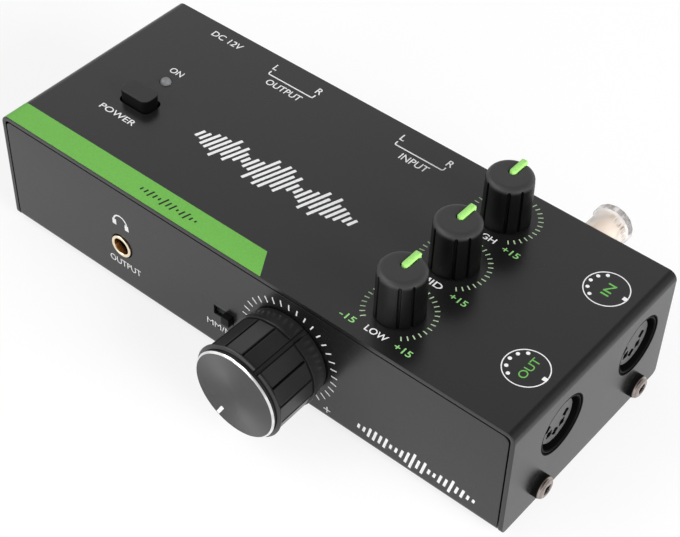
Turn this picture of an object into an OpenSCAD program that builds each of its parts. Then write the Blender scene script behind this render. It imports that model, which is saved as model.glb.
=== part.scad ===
// Desktop phono preamp: a folded steel case with three EQ knobs on the top,
// a volume knob on the front, DIN sockets in the right end and jacks on the rear.
// Millimetres. +X is the right end, -Y the front, +Z up; the feet stand on Z = 0.

/* [Case] */
// Length of the case from end to end
case_l = 158; // [150:1:200]
// Depth of the case from front to rear
case_w = 63.6; // [62:0.2:80]
// Height of the case without its feet
case_h = 34; // [32:1:44]
// Thickness of the folded sheet
sheet_t = 1.2; // [1:0.1:1.5]
// Outer radius of the two top bends of the cover
cover_bend_r = 2.4; // [2:0.1:4]
// Outer radius of the front and rear bends of the base
base_bend_r = 1.8; // [1.6:0.1:3]
// Gap all round between the cover and the base sheets
seam_gap = 0.35; // [0.2:0.05:0.6]
// Radius of the corners at the ends of the sheets
sheet_corner_r = 1.6; // [0.5:0.1:3]
// Height of the end flanges of the base
flange_h = 9; // [8:0.5:9.5]
// Width of the end flanges of the base
flange_w = 46; // [44:1:52]

/* [Feet and fasteners] */
// Height of a rubber foot
foot_h = 1.6; // [1:0.1:4]
// Radius of a rubber foot
foot_r = 4; // [3:0.5:6]
// Distance of a foot's centre from the end of the case
foot_from_end = 10; // [8:1:20]
// Distance of a foot's centre from the front or rear of the case
foot_from_side = 9; // [7:1:15]
// Radius of the thread of the screws
screw_r = 1.5; // [1.2:0.1:2]
// Radius of the head of a cover screw
screw_head_r = 3; // [2.5:0.1:3.4]
// Height of the head of a cover screw
screw_head_h = 2.5; // [1.6:0.1:3.2]
// Length of a cover screw under its head
cover_screw_l = 5.5; // [4:0.5:6]
// Distance between the two cover screws of one end
cover_screw_pitch = 39; // [30:0.2:40]
// Offset of the cover screws from the centre line, towards the rear
cover_screw_offset = 1; // [-1:0.1:2.5]
// Height of the cover screws above the underside of the case
cover_screw_z = 5.4; // [4.6:0.1:5.6]
// Radial clearance of a screw in its hole
screw_clear = 0.1; // [0.05:0.05:0.3]

/* [Circuit board] */
// Height of the standoffs under the board
standoff_h = 7.2; // [6.8:0.1:8]
// Thickness of the board
board_t = 1.6; // [1:0.2:2]
// Gap between the board and the sheet round it
board_gap = 1.2; // [0.8:0.1:2]
// Width across the flats of a standoff
standoff_af = 5.5; // [5:0.5:6]
// Distance of the left standoffs from the left end of the case
standoff_from_left = 11; // [10.5:0.5:13]
// Distance of the right standoffs from the right end of the case
standoff_from_right = 26; // [24:0.5:28]
// Distance of the standoffs from the front and rear of the case
standoff_from_side = 8.8; // [8:0.1:10]
// Length of a board screw under its head
board_screw_l = 5; // [3:0.5:6]

/* [Volume control] */
// Distance of the volume knob's axis from the right end
volume_from_right = 62.6; // [55:0.1:66]
// Height of the volume knob's axis above the board
volume_rise = 6.2; // [6:0.1:8]
// Largest radius of the volume knob
volume_knob_r = 12.8; // [10:0.1:14]
// How much smaller the fluted part is at its rear end
volume_flute_taper = 0.35; // [0:0.05:1]
// How much smaller the smooth skirt is next to the panel
volume_skirt_taper = 1.15; // [0.5:0.05:2]
// Length of the volume knob with its cap
volume_knob_l = 18.5; // [17:0.1:22]
// Gap between the volume knob and the panel
volume_knob_gap = 0.4; // [0.3:0.1:1]
// Length of the smooth skirt
volume_skirt_l = 4.9; // [4:0.1:5.5]
// Number of grooves round the volume knob
volume_groove_n = 15; // [11:1:19]
// Width of a groove of the volume knob
volume_groove_w = 0.6; // [0.4:0.1:1.4]
// Depth of a groove of the volume knob
volume_groove_d = 0.7; // [0.4:0.1:1.2]
// Width of the wide groove opposite the index mark
volume_wide_groove_w = 1.3; // [0.8:0.1:2]
// Thickness of the metal cap on the volume knob
volume_cap_t = 0.6; // [0.5:0.1:1.4]
// How much smaller the polished rim of the cap is than the knob
volume_rim_step = 0.85; // [0.3:0.05:1.5]
// Width of the polished chamfer round the cap
volume_chamfer = 0.45; // [0.3:0.05:0.8]
// Gap between the index mark and the cap's chamfer
volume_mark_edge = 0.25; // [0.1:0.05:1]
// Length of the index mark
volume_mark_l = 3.6; // [2:0.1:5]
// Width of the index mark
volume_mark_w = 0.9; // [0.6:0.1:1.6]
// Direction of the index mark at rest, from +X towards +Z
volume_mark_angle = 242; // [180:1:270]

/* [EQ controls] */
// Distance of the EQ knobs' axes from the right end
eq_from_right = 40.8; // [36:0.1:44]
// Offset of the middle knob from the centre line, towards the rear
eq_offset = 0.8; // [-1:0.1:1.5]
// Distance between two EQ knobs
eq_pitch = 20; // [16:0.5:21]
// Radius of an EQ knob at its base
eq_knob_r = 6; // [5.5:0.05:7]
// How much smaller an EQ knob is at its shoulder
eq_taper = 0.2; // [0:0.05:0.8]
// Width of the rounded shoulder of an EQ knob
eq_shoulder_w = 0.75; // [0.5:0.05:2]
// Height of the shoulder above the cover
eq_shoulder_z = 12.9; // [10.5:0.1:13]
// Height of the top of an EQ knob above the cover
eq_top_z = 13.9; // [13.5:0.1:16]
// Gap between an EQ knob and the cover
eq_knob_gap = 0.3; // [0.3:0.1:1]
// Width of a groove of an EQ knob
eq_groove_w = 0.75; // [0.5:0.05:1.2]
// Depth of a groove of an EQ knob
eq_groove_d = 0.7; // [0.4:0.1:1]
// How far the grooves are turned from lying even about the pointer
eq_groove_turn = 3.5; // [0:0.5:5]
// Width of the pointer inlay
eq_pointer_w = 2; // [1.4:0.1:2.4]
// Distance of the pointer's inner end from the axis
eq_pointer_from = 0.1; // [0:0.1:1.5]
// Height of the pointer above the knob's top
eq_pointer_up = 0.75; // [0.2:0.05:1]
// Height of the pointer's lower end above the cover
eq_pointer_z = 10.9; // [9.5:0.1:11.4]

/* [Pots] */
// Radius of a pot's shaft
shaft_r = 3; // [2:0.5:3]
// Radial running clearance of a shaft in its bush
shaft_clear = 0.05; // [0.03:0.01:0.1]
// Distance of the shaft's flat from its axis
shaft_flat = 1.6; // [1:0.1:2]
// Width of a pot's housing
pot_w = 9.8; // [9:0.1:11]
// Depth of a pot's housing along its shaft
pot_d = 6.8; // [6:0.1:8]
// Depth of the shaft's seat in the housing
pot_seat = 4; // [3:0.1:5]
// Radius of the threaded bush of a pot
bush_r = 3.5; // [3.4:0.05:4]
// Length of the threaded bush in front of the panel
volume_bush_l = 4.2; // [3:0.1:5]
// Length of the bush of an EQ pot
eq_bush_l = 5; // [3:0.5:8]
// Thickness of the volume pot's nut
pot_nut_t = 2; // [1.5:0.1:2.4]
// Width across the flats of the volume pot's nut
pot_nut_af = 10; // [9:0.5:11]

/* [Power switch and indicator] */
// Distance of the power button from the left end
button_from_left = 22.5; // [18:0.5:30]
// Distance of the power button from the centre line, towards the front
button_front = 5.45; // [4:0.05:10]
// Length of the power button's cap along X
button_l = 9.6; // [8.4:0.1:12]
// Width of the power button's cap along Y
button_w = 5.6; // [5.4:0.1:7]
// Corner radius of the power button's cap
button_corner_r = 1.4; // [0.8:0.1:2.4]
// Height of the power button above the cover when it is out
button_out = 3.6; // [3:0.1:5]
// Depth of the power button below the cover's top face
button_in = 5.5; // [4.5:0.1:6]
// Travel of the power button
button_travel = 2.2; // [1:0.1:2.4]
// Gap round the power button in the cover
button_gap = 0.3; // [0.2:0.05:0.5]
// Width of the power switch's housing
power_switch_w = 8.4; // [7:0.1:9]
// Height of the power switch's housing
power_switch_h = 12; // [10:0.5:12.5]
// Width of the power switch's plunger
plunger_w = 4; // [3:0.1:4.4]
// Distance of the indicator from the left end
led_from_left = 21.9; // [18:0.1:30]
// Distance of the indicator from the centre line, towards the rear
led_rear = 4.4; // [4.2:0.1:10]
// Radius of the indicator
led_r = 1.5; // [1.5:0.5:2.5]
// Height of the indicator's top above the cover
led_out = 1.2; // [0.6:0.1:1.5]

/* [Headphone jack] */
// Distance of the headphone jack from the left end
jack_from_left = 40.6; // [36:0.1:46]
// Height of the headphone jack above the board
jack_rise = 4.1; // [3.6:0.1:5]
// Radius of the jack's bore
jack_bore_r = 1.8; // [1.8:0.05:3.2]
// Radius of the jack's metal bush
jack_bush_r = 3.2; // [3:0.1:4]
// Depth of the jack's bore from the panel's face
jack_depth = 12.5; // [12:0.5:15]

/* [Mode switch] */
// Distance of the mode switch to the left of the volume knob's axis
mode_from_volume = 20.7; // [19:0.1:22]
// Height of the mode switch above the board
mode_rise = 3; // [2.6:0.1:4]
// Width of the slot for the lever
mode_slot_w = 6.4; // [5:0.1:7]
// Height of the slot for the lever
mode_slot_h = 3; // [2.6:0.1:3.4]
// Width of the lever
mode_lever_w = 2.5; // [2:0.1:3]
// Length of the lever in front of the panel
mode_lever_out = 1.6; // [1.5:0.1:4]
// Gap round the lever in its slot
mode_gap = 0.2; // [0.15:0.05:0.3]

/* [DIN sockets] */
// Offset of the two DIN sockets' middle from the centre line, towards the rear
din_offset = 3.2; // [0:0.1:3.6]
// Distance between the two DIN sockets
din_pitch = 30.8; // [24:0.1:32]
// Height of the DIN sockets above the board
din_rise = 10.6; // [10:0.1:11]
// Radius of the holes for the DIN sockets
din_hole_r = 8; // [7.8:0.1:8.4]
// Gap round a DIN socket's nose in its hole
din_gap = 0.3; // [0.2:0.05:0.5]
// Radius inside a DIN socket's nose, round the plug's shell
din_bore_r = 6.95; // [6.8:0.05:7.1]
// Radius of a DIN socket's insulator
din_insert_r = 5.95; // [5.6:0.05:6.1]
// Depth of a DIN socket's well from the case's face
din_depth = 9.5; // [8:0.5:11]
// Radius of the circle of contacts
din_contact_ring_r = 3.5; // [3.4:0.1:3.6]

/* [Phono jacks] */
// Distance of the output pair's middle from the left end
output_from_left = 46.7; // [44:0.1:56]
// Distance of the input pair's middle from the right end
input_from_right = 69.5; // [65:0.1:72]
// Distance between the left and right jack of a pair
rca_pitch = 15; // [12:0.5:16]
// Height of the phono jacks above the board
rca_rise = 8.6; // [7:0.1:12]
// Outer radius of a phono jack's shell
rca_shell_r = 4.15; // [4:0.05:4.3]
// Thickness of a phono jack's shell
rca_shell_t = 0.6; // [0.4:0.1:0.8]
// Length of a phono jack behind the panel
rca_out = 8.5; // [7:0.1:10]
// Radius of the hole for a plug's centre pin
rca_pin_hole_r = 1.65; // [1.6:0.05:1.8]

/* [Power inlet] */
// Distance of the power inlet from the left end
inlet_from_left = 22; // [18:0.5:28]
// Height of the power inlet above the board
inlet_rise = 6.5; // [6:0.1:8]
// Radius of the inlet's bore
inlet_bore_r = 3.05; // [2.8:0.05:3.3]
// Radius of the inlet's centre pin
inlet_pin_r = 1; // [0.8:0.05:1.25]

/* [Ground post] */
// Distance of the ground post from the right end
post_from_right = 25; // [20:0.5:30]
// Height of the ground post above the underside of the case
post_z = 24.5; // [20:0.5:25]
// Radius of the post's threaded stud
post_stud_r = 2; // [1.5:0.25:2.5]
// Radial clearance of the thumb nut's thread
post_clear = 0.05; // [0.03:0.01:0.1]
// Thickness of the post's collar
post_collar_t = 1.6; // [1:0.1:2]
// Thickness of the clamping washer
post_washer_t = 0.8; // [0.5:0.1:1.2]
// Radius of the thumb nut's body
post_nut_r = 4.9; // [4.4:0.1:5.4]
// Radius of the thumb nut's rim
post_rim_r = 5.9; // [5.5:0.1:6.5]
// Length of the whole post behind the panel
post_l = 13; // [12:0.5:15]
// Length of the thumb nut's rim
post_rim_l = 3.5; // [3:0.1:5]

/* [Hidden] */
$fn = 64;
eps = 0.5;

// Case
base_l = case_l - 2*(sheet_t + seam_gap);
panel_top = case_h - sheet_t - seam_gap;
front_reach = volume_knob_gap + volume_knob_l;
body_y = (front_reach - post_l)/2;

// Board
board_top = sheet_t + standoff_h + board_t;
board_l = base_l - 2*(sheet_t + board_gap);
board_w = case_w - 2*(sheet_t + board_gap);
standoff_xs = [-case_l/2 + standoff_from_left, case_l/2 - standoff_from_right];
standoff_y = case_w/2 - standoff_from_side;
board_head_h = 1.8;

// Cross recess of a screw, as shares of its head
cross_reach = 0.6;
cross_w = 0.26;
cross_floor = 0.45;

// Places along the case
volume_x = case_l/2 - volume_from_right;
volume_z = board_top + volume_rise;
mode_x = volume_x - mode_from_volume;
mode_z = board_top + mode_rise;
jack_x = -case_l/2 + jack_from_left;
jack_z = board_top + jack_rise;
eq_x = case_l/2 - eq_from_right;
eq_low_y = eq_offset - eq_pitch;
eq_mid_y = eq_offset;
eq_high_y = eq_offset + eq_pitch;
button_x = -case_l/2 + button_from_left;
button_y = -button_front;
led_x = -case_l/2 + led_from_left;
led_y = led_rear;
din_z = board_top + din_rise;
din_out_y = din_offset - din_pitch/2;
din_in_y = din_offset + din_pitch/2;
output_x = -case_l/2 + output_from_left;
input_x = case_l/2 - input_from_right;
rca_z = board_top + rca_rise;
inlet_x = -case_l/2 + inlet_from_left;
inlet_z = board_top + inlet_rise;
post_x = case_l/2 - post_from_right;

// Volume knob
volume_cap_z = front_reach - volume_cap_t;
volume_skirt_z = volume_knob_gap + volume_skirt_l;
volume_skirt_r = volume_knob_r - volume_skirt_taper;
volume_flute_rear_r = volume_knob_r - volume_flute_taper;
volume_skirt_step = 0.15;
volume_rim_r = volume_knob_r - volume_rim_step;
volume_shoulder_l = 0.5;
volume_neck_l = 0.7;
volume_neck_r = volume_rim_r - 0.4;
volume_lip_z = volume_cap_z - volume_neck_l - volume_shoulder_l;
volume_groove_start = volume_skirt_z + 0.1;
volume_groove_end = volume_lip_z - 0.3;
volume_cap_wall = 2.1;
recess_gap = 1.4;
volume_recess_r = pot_nut_af/2/cos(30) + recess_gap;
volume_recess_z = pot_nut_t + recess_gap;
volume_bore_end = volume_cap_z - volume_cap_wall;
volume_mark_t = 0.3;
volume_mark_to = volume_rim_r - volume_chamfer - volume_mark_edge;

// EQ knobs and pots
eq_shoulder_r = eq_knob_r - eq_taper;
eq_flat_r = eq_shoulder_r - eq_shoulder_w;
eq_shoulder_steps = 4;
eq_slot_d = 0.8;
eq_inlay_out = 0.2;
eq_inlay_gap = 0.05;
eq_bore_end = 11;
eq_groove_end = eq_shoulder_z + 0.2;
eq_groove_angles = [for (side = [45:90:315], pair = [-15.5, 15.5]) side + pair + eq_groove_turn];
eq_hole_r = shaft_r + 0.6;
eq_pot_l = 11.4;
shaft_end_gap = 0.3;
knob_fit = 0.02;
knob_clear = 0.3;
panel_clear = 0.1;
flat_start = 2;

// Power switch and indicator
button_socket_d = 4;
button_socket_gap = 0.05;
plunger_gap = 0.2;
plunger_well = 5;
plunger_end_gap = 1.3;
plunger_low = plunger_well + button_travel + plunger_end_gap;
led_hole_gap = 0.1;
led_body_l = 4.2;
led_flange_t = 1;
led_flange_extra = 0.4;
led_lead_w = 0.5;
led_lead_pitch = 2.54;

// Parts on the board
can_n = 3;
can_pitch = 9;
can_y = 8;
can_r = 3.15;
can_h = 11.5;
can_vent_w = 0.3;
can_vent_l = 4;
film_n = 4;
film_l = 7.2;
film_w = 3.6;
film_h = 6.5;
film_y = -6;
chip_n = 2;
chip_pitch = 16;
chip_y = -15;
chip_l = 9.8;
chip_w = 6.4;
chip_stand = 0.5;
chip_h = 3.3;
chip_lead_pitch = 2.54;
chip_lead_w = 0.6;
chip_lead_h = 2.2;
chip_notch_r = 0.8;
chip_notch_d = 0.5;

// Headphone jack
jack_body_w = 8;
jack_body_up = 4;
jack_body_l = 13;
jack_bush_out = 0.5;
jack_hole_gap = 0.3;
jack_mouth = 1;
jack_mouth_r = jack_bore_r + 0.9;

// Mode switch
mode_body_w = 12;
mode_body_up = 2.9;
mode_body_d = 4.5;
mode_well_d = 3;
mode_lever_h = mode_slot_h - 2*mode_gap;
mode_lever_x = mode_slot_w/2 - mode_lever_w/2 - mode_gap;

// DIN sockets
din_nose_r = din_hole_r - din_gap;
din_sunk = 0.4;
din_insert_sunk = 1.5;
din_body_w = 17.4;
din_body_up = 8.5;
din_body_d = 13;
din_contact_hole_r = 1;
din_contact_r = 0.95;
din_contact_bore_r = 0.75;
din_contact_sunk = 2;
din_contact_l = 5.6;
din_slot_w = 0.8;
din_slot_l = 2.4;
din_slot_end = 3.2;
din_contact_angles = [-180:45:0];
din_key_w = 1.8;
din_key_d = 1;

// Phono jacks
rca_boss_r = rca_shell_r + 1.05;
rca_boss_out = 0.6;
rca_hole_r = rca_boss_r + panel_clear;
rca_block_side = 6.6;
rca_block_d = 10;
rca_seat = 2;
rca_fit = 0.05;
rca_step = 0.25;
rca_tail_r = rca_shell_r - rca_step;
rca_insert_sunk = 0.8;
rca_pin_hole_d = 9;

// Power inlet
inlet_nose_r = 3.95;
inlet_nose_out = 0.2;
inlet_hole_gap = 0.2;
inlet_body_w = 9;
inlet_body_up = 4.8;
inlet_body_d = 12.5;
inlet_depth = 9;
inlet_pin_sunk = 0.8;

// Ground post
post_hole_gap = 0.2;
post_inner_l = 4.5;
post_lock_af = 7;
post_lock_t = 2.4;
post_collar_r = 4.4;
post_nut_z = post_collar_t + post_washer_t;
post_stud_end = post_l - 4;
post_insert_r = 3;
post_insert_end = post_l - 0.6;
post_flute_n = 12;
post_flute_r = 0.8;

// Places: each turns its children so that +Z points out of the face and +Y up
module in_case() translate([0, body_y, foot_h]) children();
module on_front(x, z) in_case() translate([x, -case_w/2, z]) rotate([90, 0, 0]) children();
module on_rear(x, z) in_case() translate([x, case_w/2, z]) rotate([90, 0, 180]) children();
module on_right(y, z) in_case() translate([case_l/2, y, z]) rotate([90, 0, 90]) children();
module on_left(y, z) in_case() translate([-case_l/2, y, z]) rotate([90, 0, -90]) children();
module on_top(x, y) in_case() translate([x, y, case_h]) children();
module on_board(x, y) in_case() translate([x, y, board_top]) children();

module at_cover_screws() for (side = [-1, 1]) {
    on_right(side*cover_screw_pitch/2 + cover_screw_offset, cover_screw_z) children();
    on_left(side*cover_screw_pitch/2 + cover_screw_offset, cover_screw_z) children();
}

// Stretches: an outline drawn in X and Z along Y, or one in Y and Z along X
module along_y(l) rotate([90, 0, 0]) linear_extrude(l, center = true) children();
module along_x(l) rotate([90, 0, 90]) linear_extrude(l, center = true) children();

// Shared shapes
module rod(r, z0, z1) translate([0, 0, z0]) cylinder(h = z1 - z0, r = r);
module hex_rod(af, z0, z1) translate([0, 0, z0]) cylinder(h = z1 - z0, r = af/2/cos(30), $fn = 6);
module block(x, y, z) translate([x[0], y[0], z[0]]) cube([x[1] - x[0], y[1] - y[0], z[1] - z[0]]);
module sheet_hole(r) rod(r, -sheet_t - eps, eps);

module rounded_rect(l, w, r) {
    square([l - 2*r, w], center = true);
    square([l, w - 2*r], center = true);
    for (x = [-1, 1], y = [-1, 1]) translate([x*(l/2 - r), y*(w/2 - r)]) circle(r);
}

// Rectangle that stands on Y = 0, with its two upper corners rounded
module arch(l, h, r) {
    translate([-l/2, 0]) square([l, h - r]);
    translate([-l/2 + r, 0]) square([l - 2*r, h]);
    for (x = [-1, 1]) translate([x*(l/2 - r), h - r]) circle(r);
}

// Turns an outline of height h upside down
module upside_down(h) translate([0, h]) mirror([0, 1]) children();

// Sheet of a U section: an arch without the arch one sheet inside it
module u_section(l, h, r) difference() {
    arch(l, h, r);
    translate([0, -eps]) arch(l - 2*sheet_t, h - sheet_t + eps, r - sheet_t);
}

module pan_screw(head_r, head_h, shank_l) difference() {
    dome_h = head_h/2;
    dome_r = (head_r*head_r + dome_h*dome_h)/(2*dome_h);
    union() {
        intersection() {
            rod(head_r, 0, head_h);
            translate([0, 0, head_h - dome_r]) sphere(dome_r);
        }
        rod(screw_r, -shank_l, 0);
    }
    for (a = [0, 90]) rotate(a) block([-cross_reach*head_r, cross_reach*head_r],
        [-cross_w*head_r/2, cross_w*head_r/2], [cross_floor*head_h, head_h + eps]);
}

// Shaft along +Z with a flat on its +X side above z_flat
module d_shaft(r, flat, z0, z1, z_flat) difference() {
    rod(r, z0, z1);
    block([flat, r + eps], [-r - eps, r + eps], [z_flat, z1 + eps]);
}

// Case
module top_cover() color("#3a3a3b") difference() {
    in_case() intersection() {
        along_y(case_w) u_section(case_l, case_h, cover_bend_r);
        along_x(case_l) upside_down(case_h) arch(case_w, case_h, sheet_corner_r);
    }
    for (y = [eq_low_y, eq_mid_y, eq_high_y]) on_top(eq_x, y) sheet_hole(eq_hole_r);
    on_top(led_x, led_y) sheet_hole(led_r + led_hole_gap);
    on_top(button_x, button_y) translate([0, 0, -sheet_t - eps]) linear_extrude(sheet_t + 2*eps)
        rounded_rect(button_l + 2*button_gap, button_w + 2*button_gap, button_corner_r + button_gap);
    for (y = [din_out_y, din_in_y]) on_right(y, din_z) sheet_hole(din_hole_r);
    at_cover_screws() sheet_hole(screw_r + screw_clear);
}

module base_chassis() color("#4b4b4d") difference() {
    in_case() {
        intersection() {
            along_x(base_l) upside_down(panel_top) u_section(case_w, panel_top, base_bend_r);
            along_y(case_w) arch(base_l, panel_top, sheet_corner_r);
        }
        for (x = [-1, 1]) translate([x*(base_l - sheet_t)/2, 0, flange_h/2])
            cube([sheet_t, flange_w, flange_h], center = true);
    }
    on_front(volume_x, volume_z) sheet_hole(bush_r + panel_clear);
    on_front(jack_x, jack_z) sheet_hole(jack_bush_r + jack_hole_gap);
    on_front(mode_x, mode_z) block([-mode_slot_w/2, mode_slot_w/2], [-mode_slot_h/2, mode_slot_h/2],
        [-sheet_t - eps, eps]);
    for (x = [output_x, input_x], s = [-1, 1]) on_rear(x + s*rca_pitch/2, rca_z) sheet_hole(rca_hole_r);
    on_rear(inlet_x, inlet_z) sheet_hole(inlet_nose_r + inlet_hole_gap);
    on_rear(post_x, post_z) sheet_hole(post_stud_r + post_hole_gap);
    at_cover_screws() translate([0, 0, -sheet_t - seam_gap]) sheet_hole(screw_r + screw_clear);
}

module cover_screws() color("#8d8479") at_cover_screws()
    pan_screw(screw_head_r, screw_head_h, cover_screw_l);

module rubber_feet() color("#1c1c1c") in_case() for (x = [-1, 1], y = [-1, 1])
    translate([x*(case_l/2 - foot_from_end), y*(case_w/2 - foot_from_side), -foot_h])
        cylinder(h = foot_h, r = foot_r);

// Board and the parts on it
module at_standoffs(z) in_case() for (x = standoff_xs, y = [-1, 1])
    translate([x, y*standoff_y, z]) children();

module main_board() color("#1f5c33") difference() {
    in_case() translate([0, 0, board_top - board_t/2]) cube([board_l, board_w, board_t], center = true);
    at_standoffs(board_top) rod(screw_r + screw_clear, -board_t - eps, eps);
}

module board_standoffs() color("#c2b280") at_standoffs(sheet_t) difference() {
    hex_rod(standoff_af, 0, standoff_h);
    rod(screw_r + screw_clear, -eps, standoff_h + eps);
}

module board_screws() color("#9a9a9c") at_standoffs(board_top)
    pan_screw(screw_head_r, board_head_h, board_screw_l);

module filter_capacitors() color("#23233a") for (i = [0:can_n - 1])
    on_board(output_x + can_pitch*(i - (can_n - 1)/2), can_y) difference() {
        rod(can_r, 0, can_h);
        for (a = [0, 90]) rotate(a) block([-can_vent_l/2, can_vent_l/2], [-can_vent_w/2, can_vent_w/2],
            [can_h - can_vent_w, can_h + eps]);
    }

module film_capacitors() color("#a8322a") for (i = [0:film_n - 1])
    on_board(output_x + can_pitch*i, film_y)
        block([-film_l/2, film_l/2], [-film_w/2, film_w/2], [0, film_h]);

module chip_lead()
    block([-chip_lead_w/2, chip_lead_w/2], [-chip_lead_w/2, chip_lead_w/2], [0, chip_lead_h]);

module amplifier_chips() color("#202020") for (i = [0:chip_n - 1])
    on_board(output_x + chip_pitch*(i + 0.5), chip_y) difference() {
        union() {
            block([-chip_l/2, chip_l/2], [-chip_w/2, chip_w/2], [chip_stand, chip_stand + chip_h]);
            for (k = [-1.5:1.5], side = [-1, 1])
                translate([chip_lead_pitch*k, side*(chip_w + chip_lead_w)/2, 0]) chip_lead();
        }
        translate([-chip_l/2, 0, chip_stand + chip_h]) rod(chip_notch_r, -chip_notch_d, eps);
    }

// Power switch and indicator
module power_switch() color("#dcdcd6") on_board(button_x, button_y) difference() {
    translate([0, 0, power_switch_h/2])
        cube([power_switch_w, power_switch_w, power_switch_h], center = true);
    translate([0, 0, plunger_well + power_switch_h/2])
        cube([plunger_w + 2*plunger_gap, plunger_w + 2*plunger_gap, power_switch_h], center = true);
}

module power_switch_plunger() color("#f0f0ec") on_board(button_x, button_y)
    block([-plunger_w/2, plunger_w/2], [-plunger_w/2, plunger_w/2],
        [plunger_low, case_h - board_top - button_in + button_socket_d]);

module power_button() color("#161616") on_top(button_x, button_y) difference() {
    socket_w = plunger_w/2 + button_socket_gap;
    translate([0, 0, -button_in]) linear_extrude(button_in + button_out)
        rounded_rect(button_l, button_w, button_corner_r);
    block([-socket_w, socket_w], [-socket_w, socket_w], [-button_in - eps, -button_in + button_socket_d]);
}

module power_led() color("#b9bcbd") on_top(led_x, led_y) {
    dome_z = led_out - led_r;
    translate([0, 0, dome_z]) sphere(led_r);
    rod(led_r, dome_z - led_body_l, dome_z);
    rod(led_r + led_flange_extra, dome_z - led_body_l - led_flange_t, dome_z - led_body_l);
}

module power_led_leads() color("#b8b8b8") on_board(led_x, led_y) for (s = [-1, 1])
    translate([s*led_lead_pitch/2, 0, 0]) block([-led_lead_w/2, led_lead_w/2],
        [-led_lead_w/2, led_lead_w/2],
        [0, case_h - board_top + led_out - led_r - led_body_l - led_flange_t]);

// Headphone jack
module headphone_jack() color("#1b1b1b") on_front(jack_x, jack_z) difference() {
    block([-jack_body_w/2, jack_body_w/2], [-jack_rise, jack_body_up], [-sheet_t - jack_body_l, -sheet_t]);
    rod(jack_bore_r, -jack_depth, 0);
}

module headphone_jack_bush() color("#d9ae63") on_front(jack_x, jack_z) difference() {
    rod(jack_bush_r, -sheet_t, jack_bush_out);
    rod(jack_bore_r, -sheet_t - eps, jack_bush_out + eps);
    translate([0, 0, jack_bush_out - jack_mouth])
        cylinder(h = jack_mouth + 0.01, r1 = jack_bore_r, r2 = jack_mouth_r);
}

// Mode switch
module mode_switch() color("#2a2a2a") on_front(mode_x, mode_z) difference() {
    block([-mode_body_w/2, mode_body_w/2], [-mode_rise, mode_body_up], [-sheet_t - mode_body_d, -sheet_t]);
    block([-mode_slot_w/2, mode_slot_w/2], [-mode_slot_h/2, mode_slot_h/2],
        [-sheet_t - mode_well_d, 0]);
}

module mode_switch_lever() color("#101010") on_front(mode_x + mode_lever_x, mode_z)
    block([-mode_lever_w/2, mode_lever_w/2], [-mode_lever_h/2, mode_lever_h/2],
        [-sheet_t - mode_well_d + mode_gap, mode_lever_out]);

// Volume control
module volume_pot() color("#8f9092") on_front(volume_x, volume_z) difference() {
    union() {
        block([-pot_w/2, pot_w/2], [-volume_rise, pot_w/2], [-sheet_t - pot_d, -sheet_t]);
        rod(bush_r, -sheet_t, volume_bush_l);
    }
    rod(shaft_r + shaft_clear, -sheet_t - pot_seat, volume_bush_l + eps);
}

module volume_pot_nut() color("#a9a9a6") on_front(volume_x, volume_z) difference() {
    hex_rod(pot_nut_af, 0, pot_nut_t);
    rod(bush_r + knob_fit, -eps, pot_nut_t + eps);
}

module volume_pot_shaft() color("#bcbcba") on_front(volume_x, volume_z) rotate(volume_mark_angle)
    d_shaft(shaft_r, shaft_flat, -sheet_t - pot_seat + shaft_end_gap, volume_bore_end - shaft_end_gap,
        volume_bush_l + flat_start);

module volume_groove(w, z0, z1)
    block([volume_flute_rear_r - volume_groove_d, volume_knob_r + eps], [-w/2, w/2], [z0, z1]);

module volume_knob() color("#1b1b1c") on_front(volume_x, volume_z) rotate(volume_mark_angle) difference() {
    rotate_extrude() polygon([
        [0, volume_knob_gap],
        [volume_skirt_r, volume_knob_gap],
        [volume_flute_rear_r + volume_skirt_step, volume_skirt_z],
        [volume_flute_rear_r, volume_skirt_z],
        [volume_knob_r, volume_lip_z],
        [volume_rim_r, volume_cap_z - volume_neck_l],
        [volume_neck_r, volume_cap_z - volume_neck_l],
        [volume_neck_r, volume_cap_z],
        [0, volume_cap_z]
    ]);
    for (i = [1:volume_groove_n - 1]) rotate(180 + 360*i/volume_groove_n)
        volume_groove(volume_groove_w, volume_groove_start, volume_groove_end);
    rotate(180)
        volume_groove(volume_wide_groove_w, volume_knob_gap - eps, volume_cap_z - volume_neck_l + eps);
    rod(volume_recess_r, volume_knob_gap - eps, volume_recess_z);
    d_shaft(shaft_r + knob_fit, shaft_flat + knob_fit, volume_recess_z - eps, volume_bore_end,
        volume_bush_l + flat_start);
    rod(bush_r + knob_clear, volume_recess_z - eps, volume_bush_l + knob_clear);
}

module volume_knob_cap() color("#77787a") on_front(volume_x, volume_z) rotate(volume_mark_angle)
    difference() {
        union() {
            rod(volume_rim_r, volume_cap_z, front_reach - volume_chamfer);
            translate([0, 0, front_reach - volume_chamfer])
                cylinder(h = volume_chamfer, r1 = volume_rim_r, r2 = volume_rim_r - volume_chamfer);
        }
        volume_mark(eps);
    }

// Bar of the index mark; extra raises its outer face
module volume_mark(extra) block([volume_mark_to - volume_mark_l, volume_mark_to],
    [-volume_mark_w/2, volume_mark_w/2], [front_reach - volume_mark_t, front_reach + extra]);

module volume_pointer() color("#f2f2f0") on_front(volume_x, volume_z) rotate(volume_mark_angle)
    volume_mark(0);

// EQ controls

// Half outline of a tone knob, moved outwards by out and up by up
function eq_profile(out, up) = concat(
    [[0, eq_knob_gap], [eq_knob_r + out, eq_knob_gap]],
    [for (i = [0:eq_shoulder_steps])
        let (a = 90*i/eq_shoulder_steps)
        [eq_flat_r + (eq_shoulder_r - eq_flat_r + out)*cos(a),
         eq_shoulder_z + (eq_top_z - eq_shoulder_z + up)*sin(a)]],
    [[0, eq_top_z + up]]
);

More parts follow.
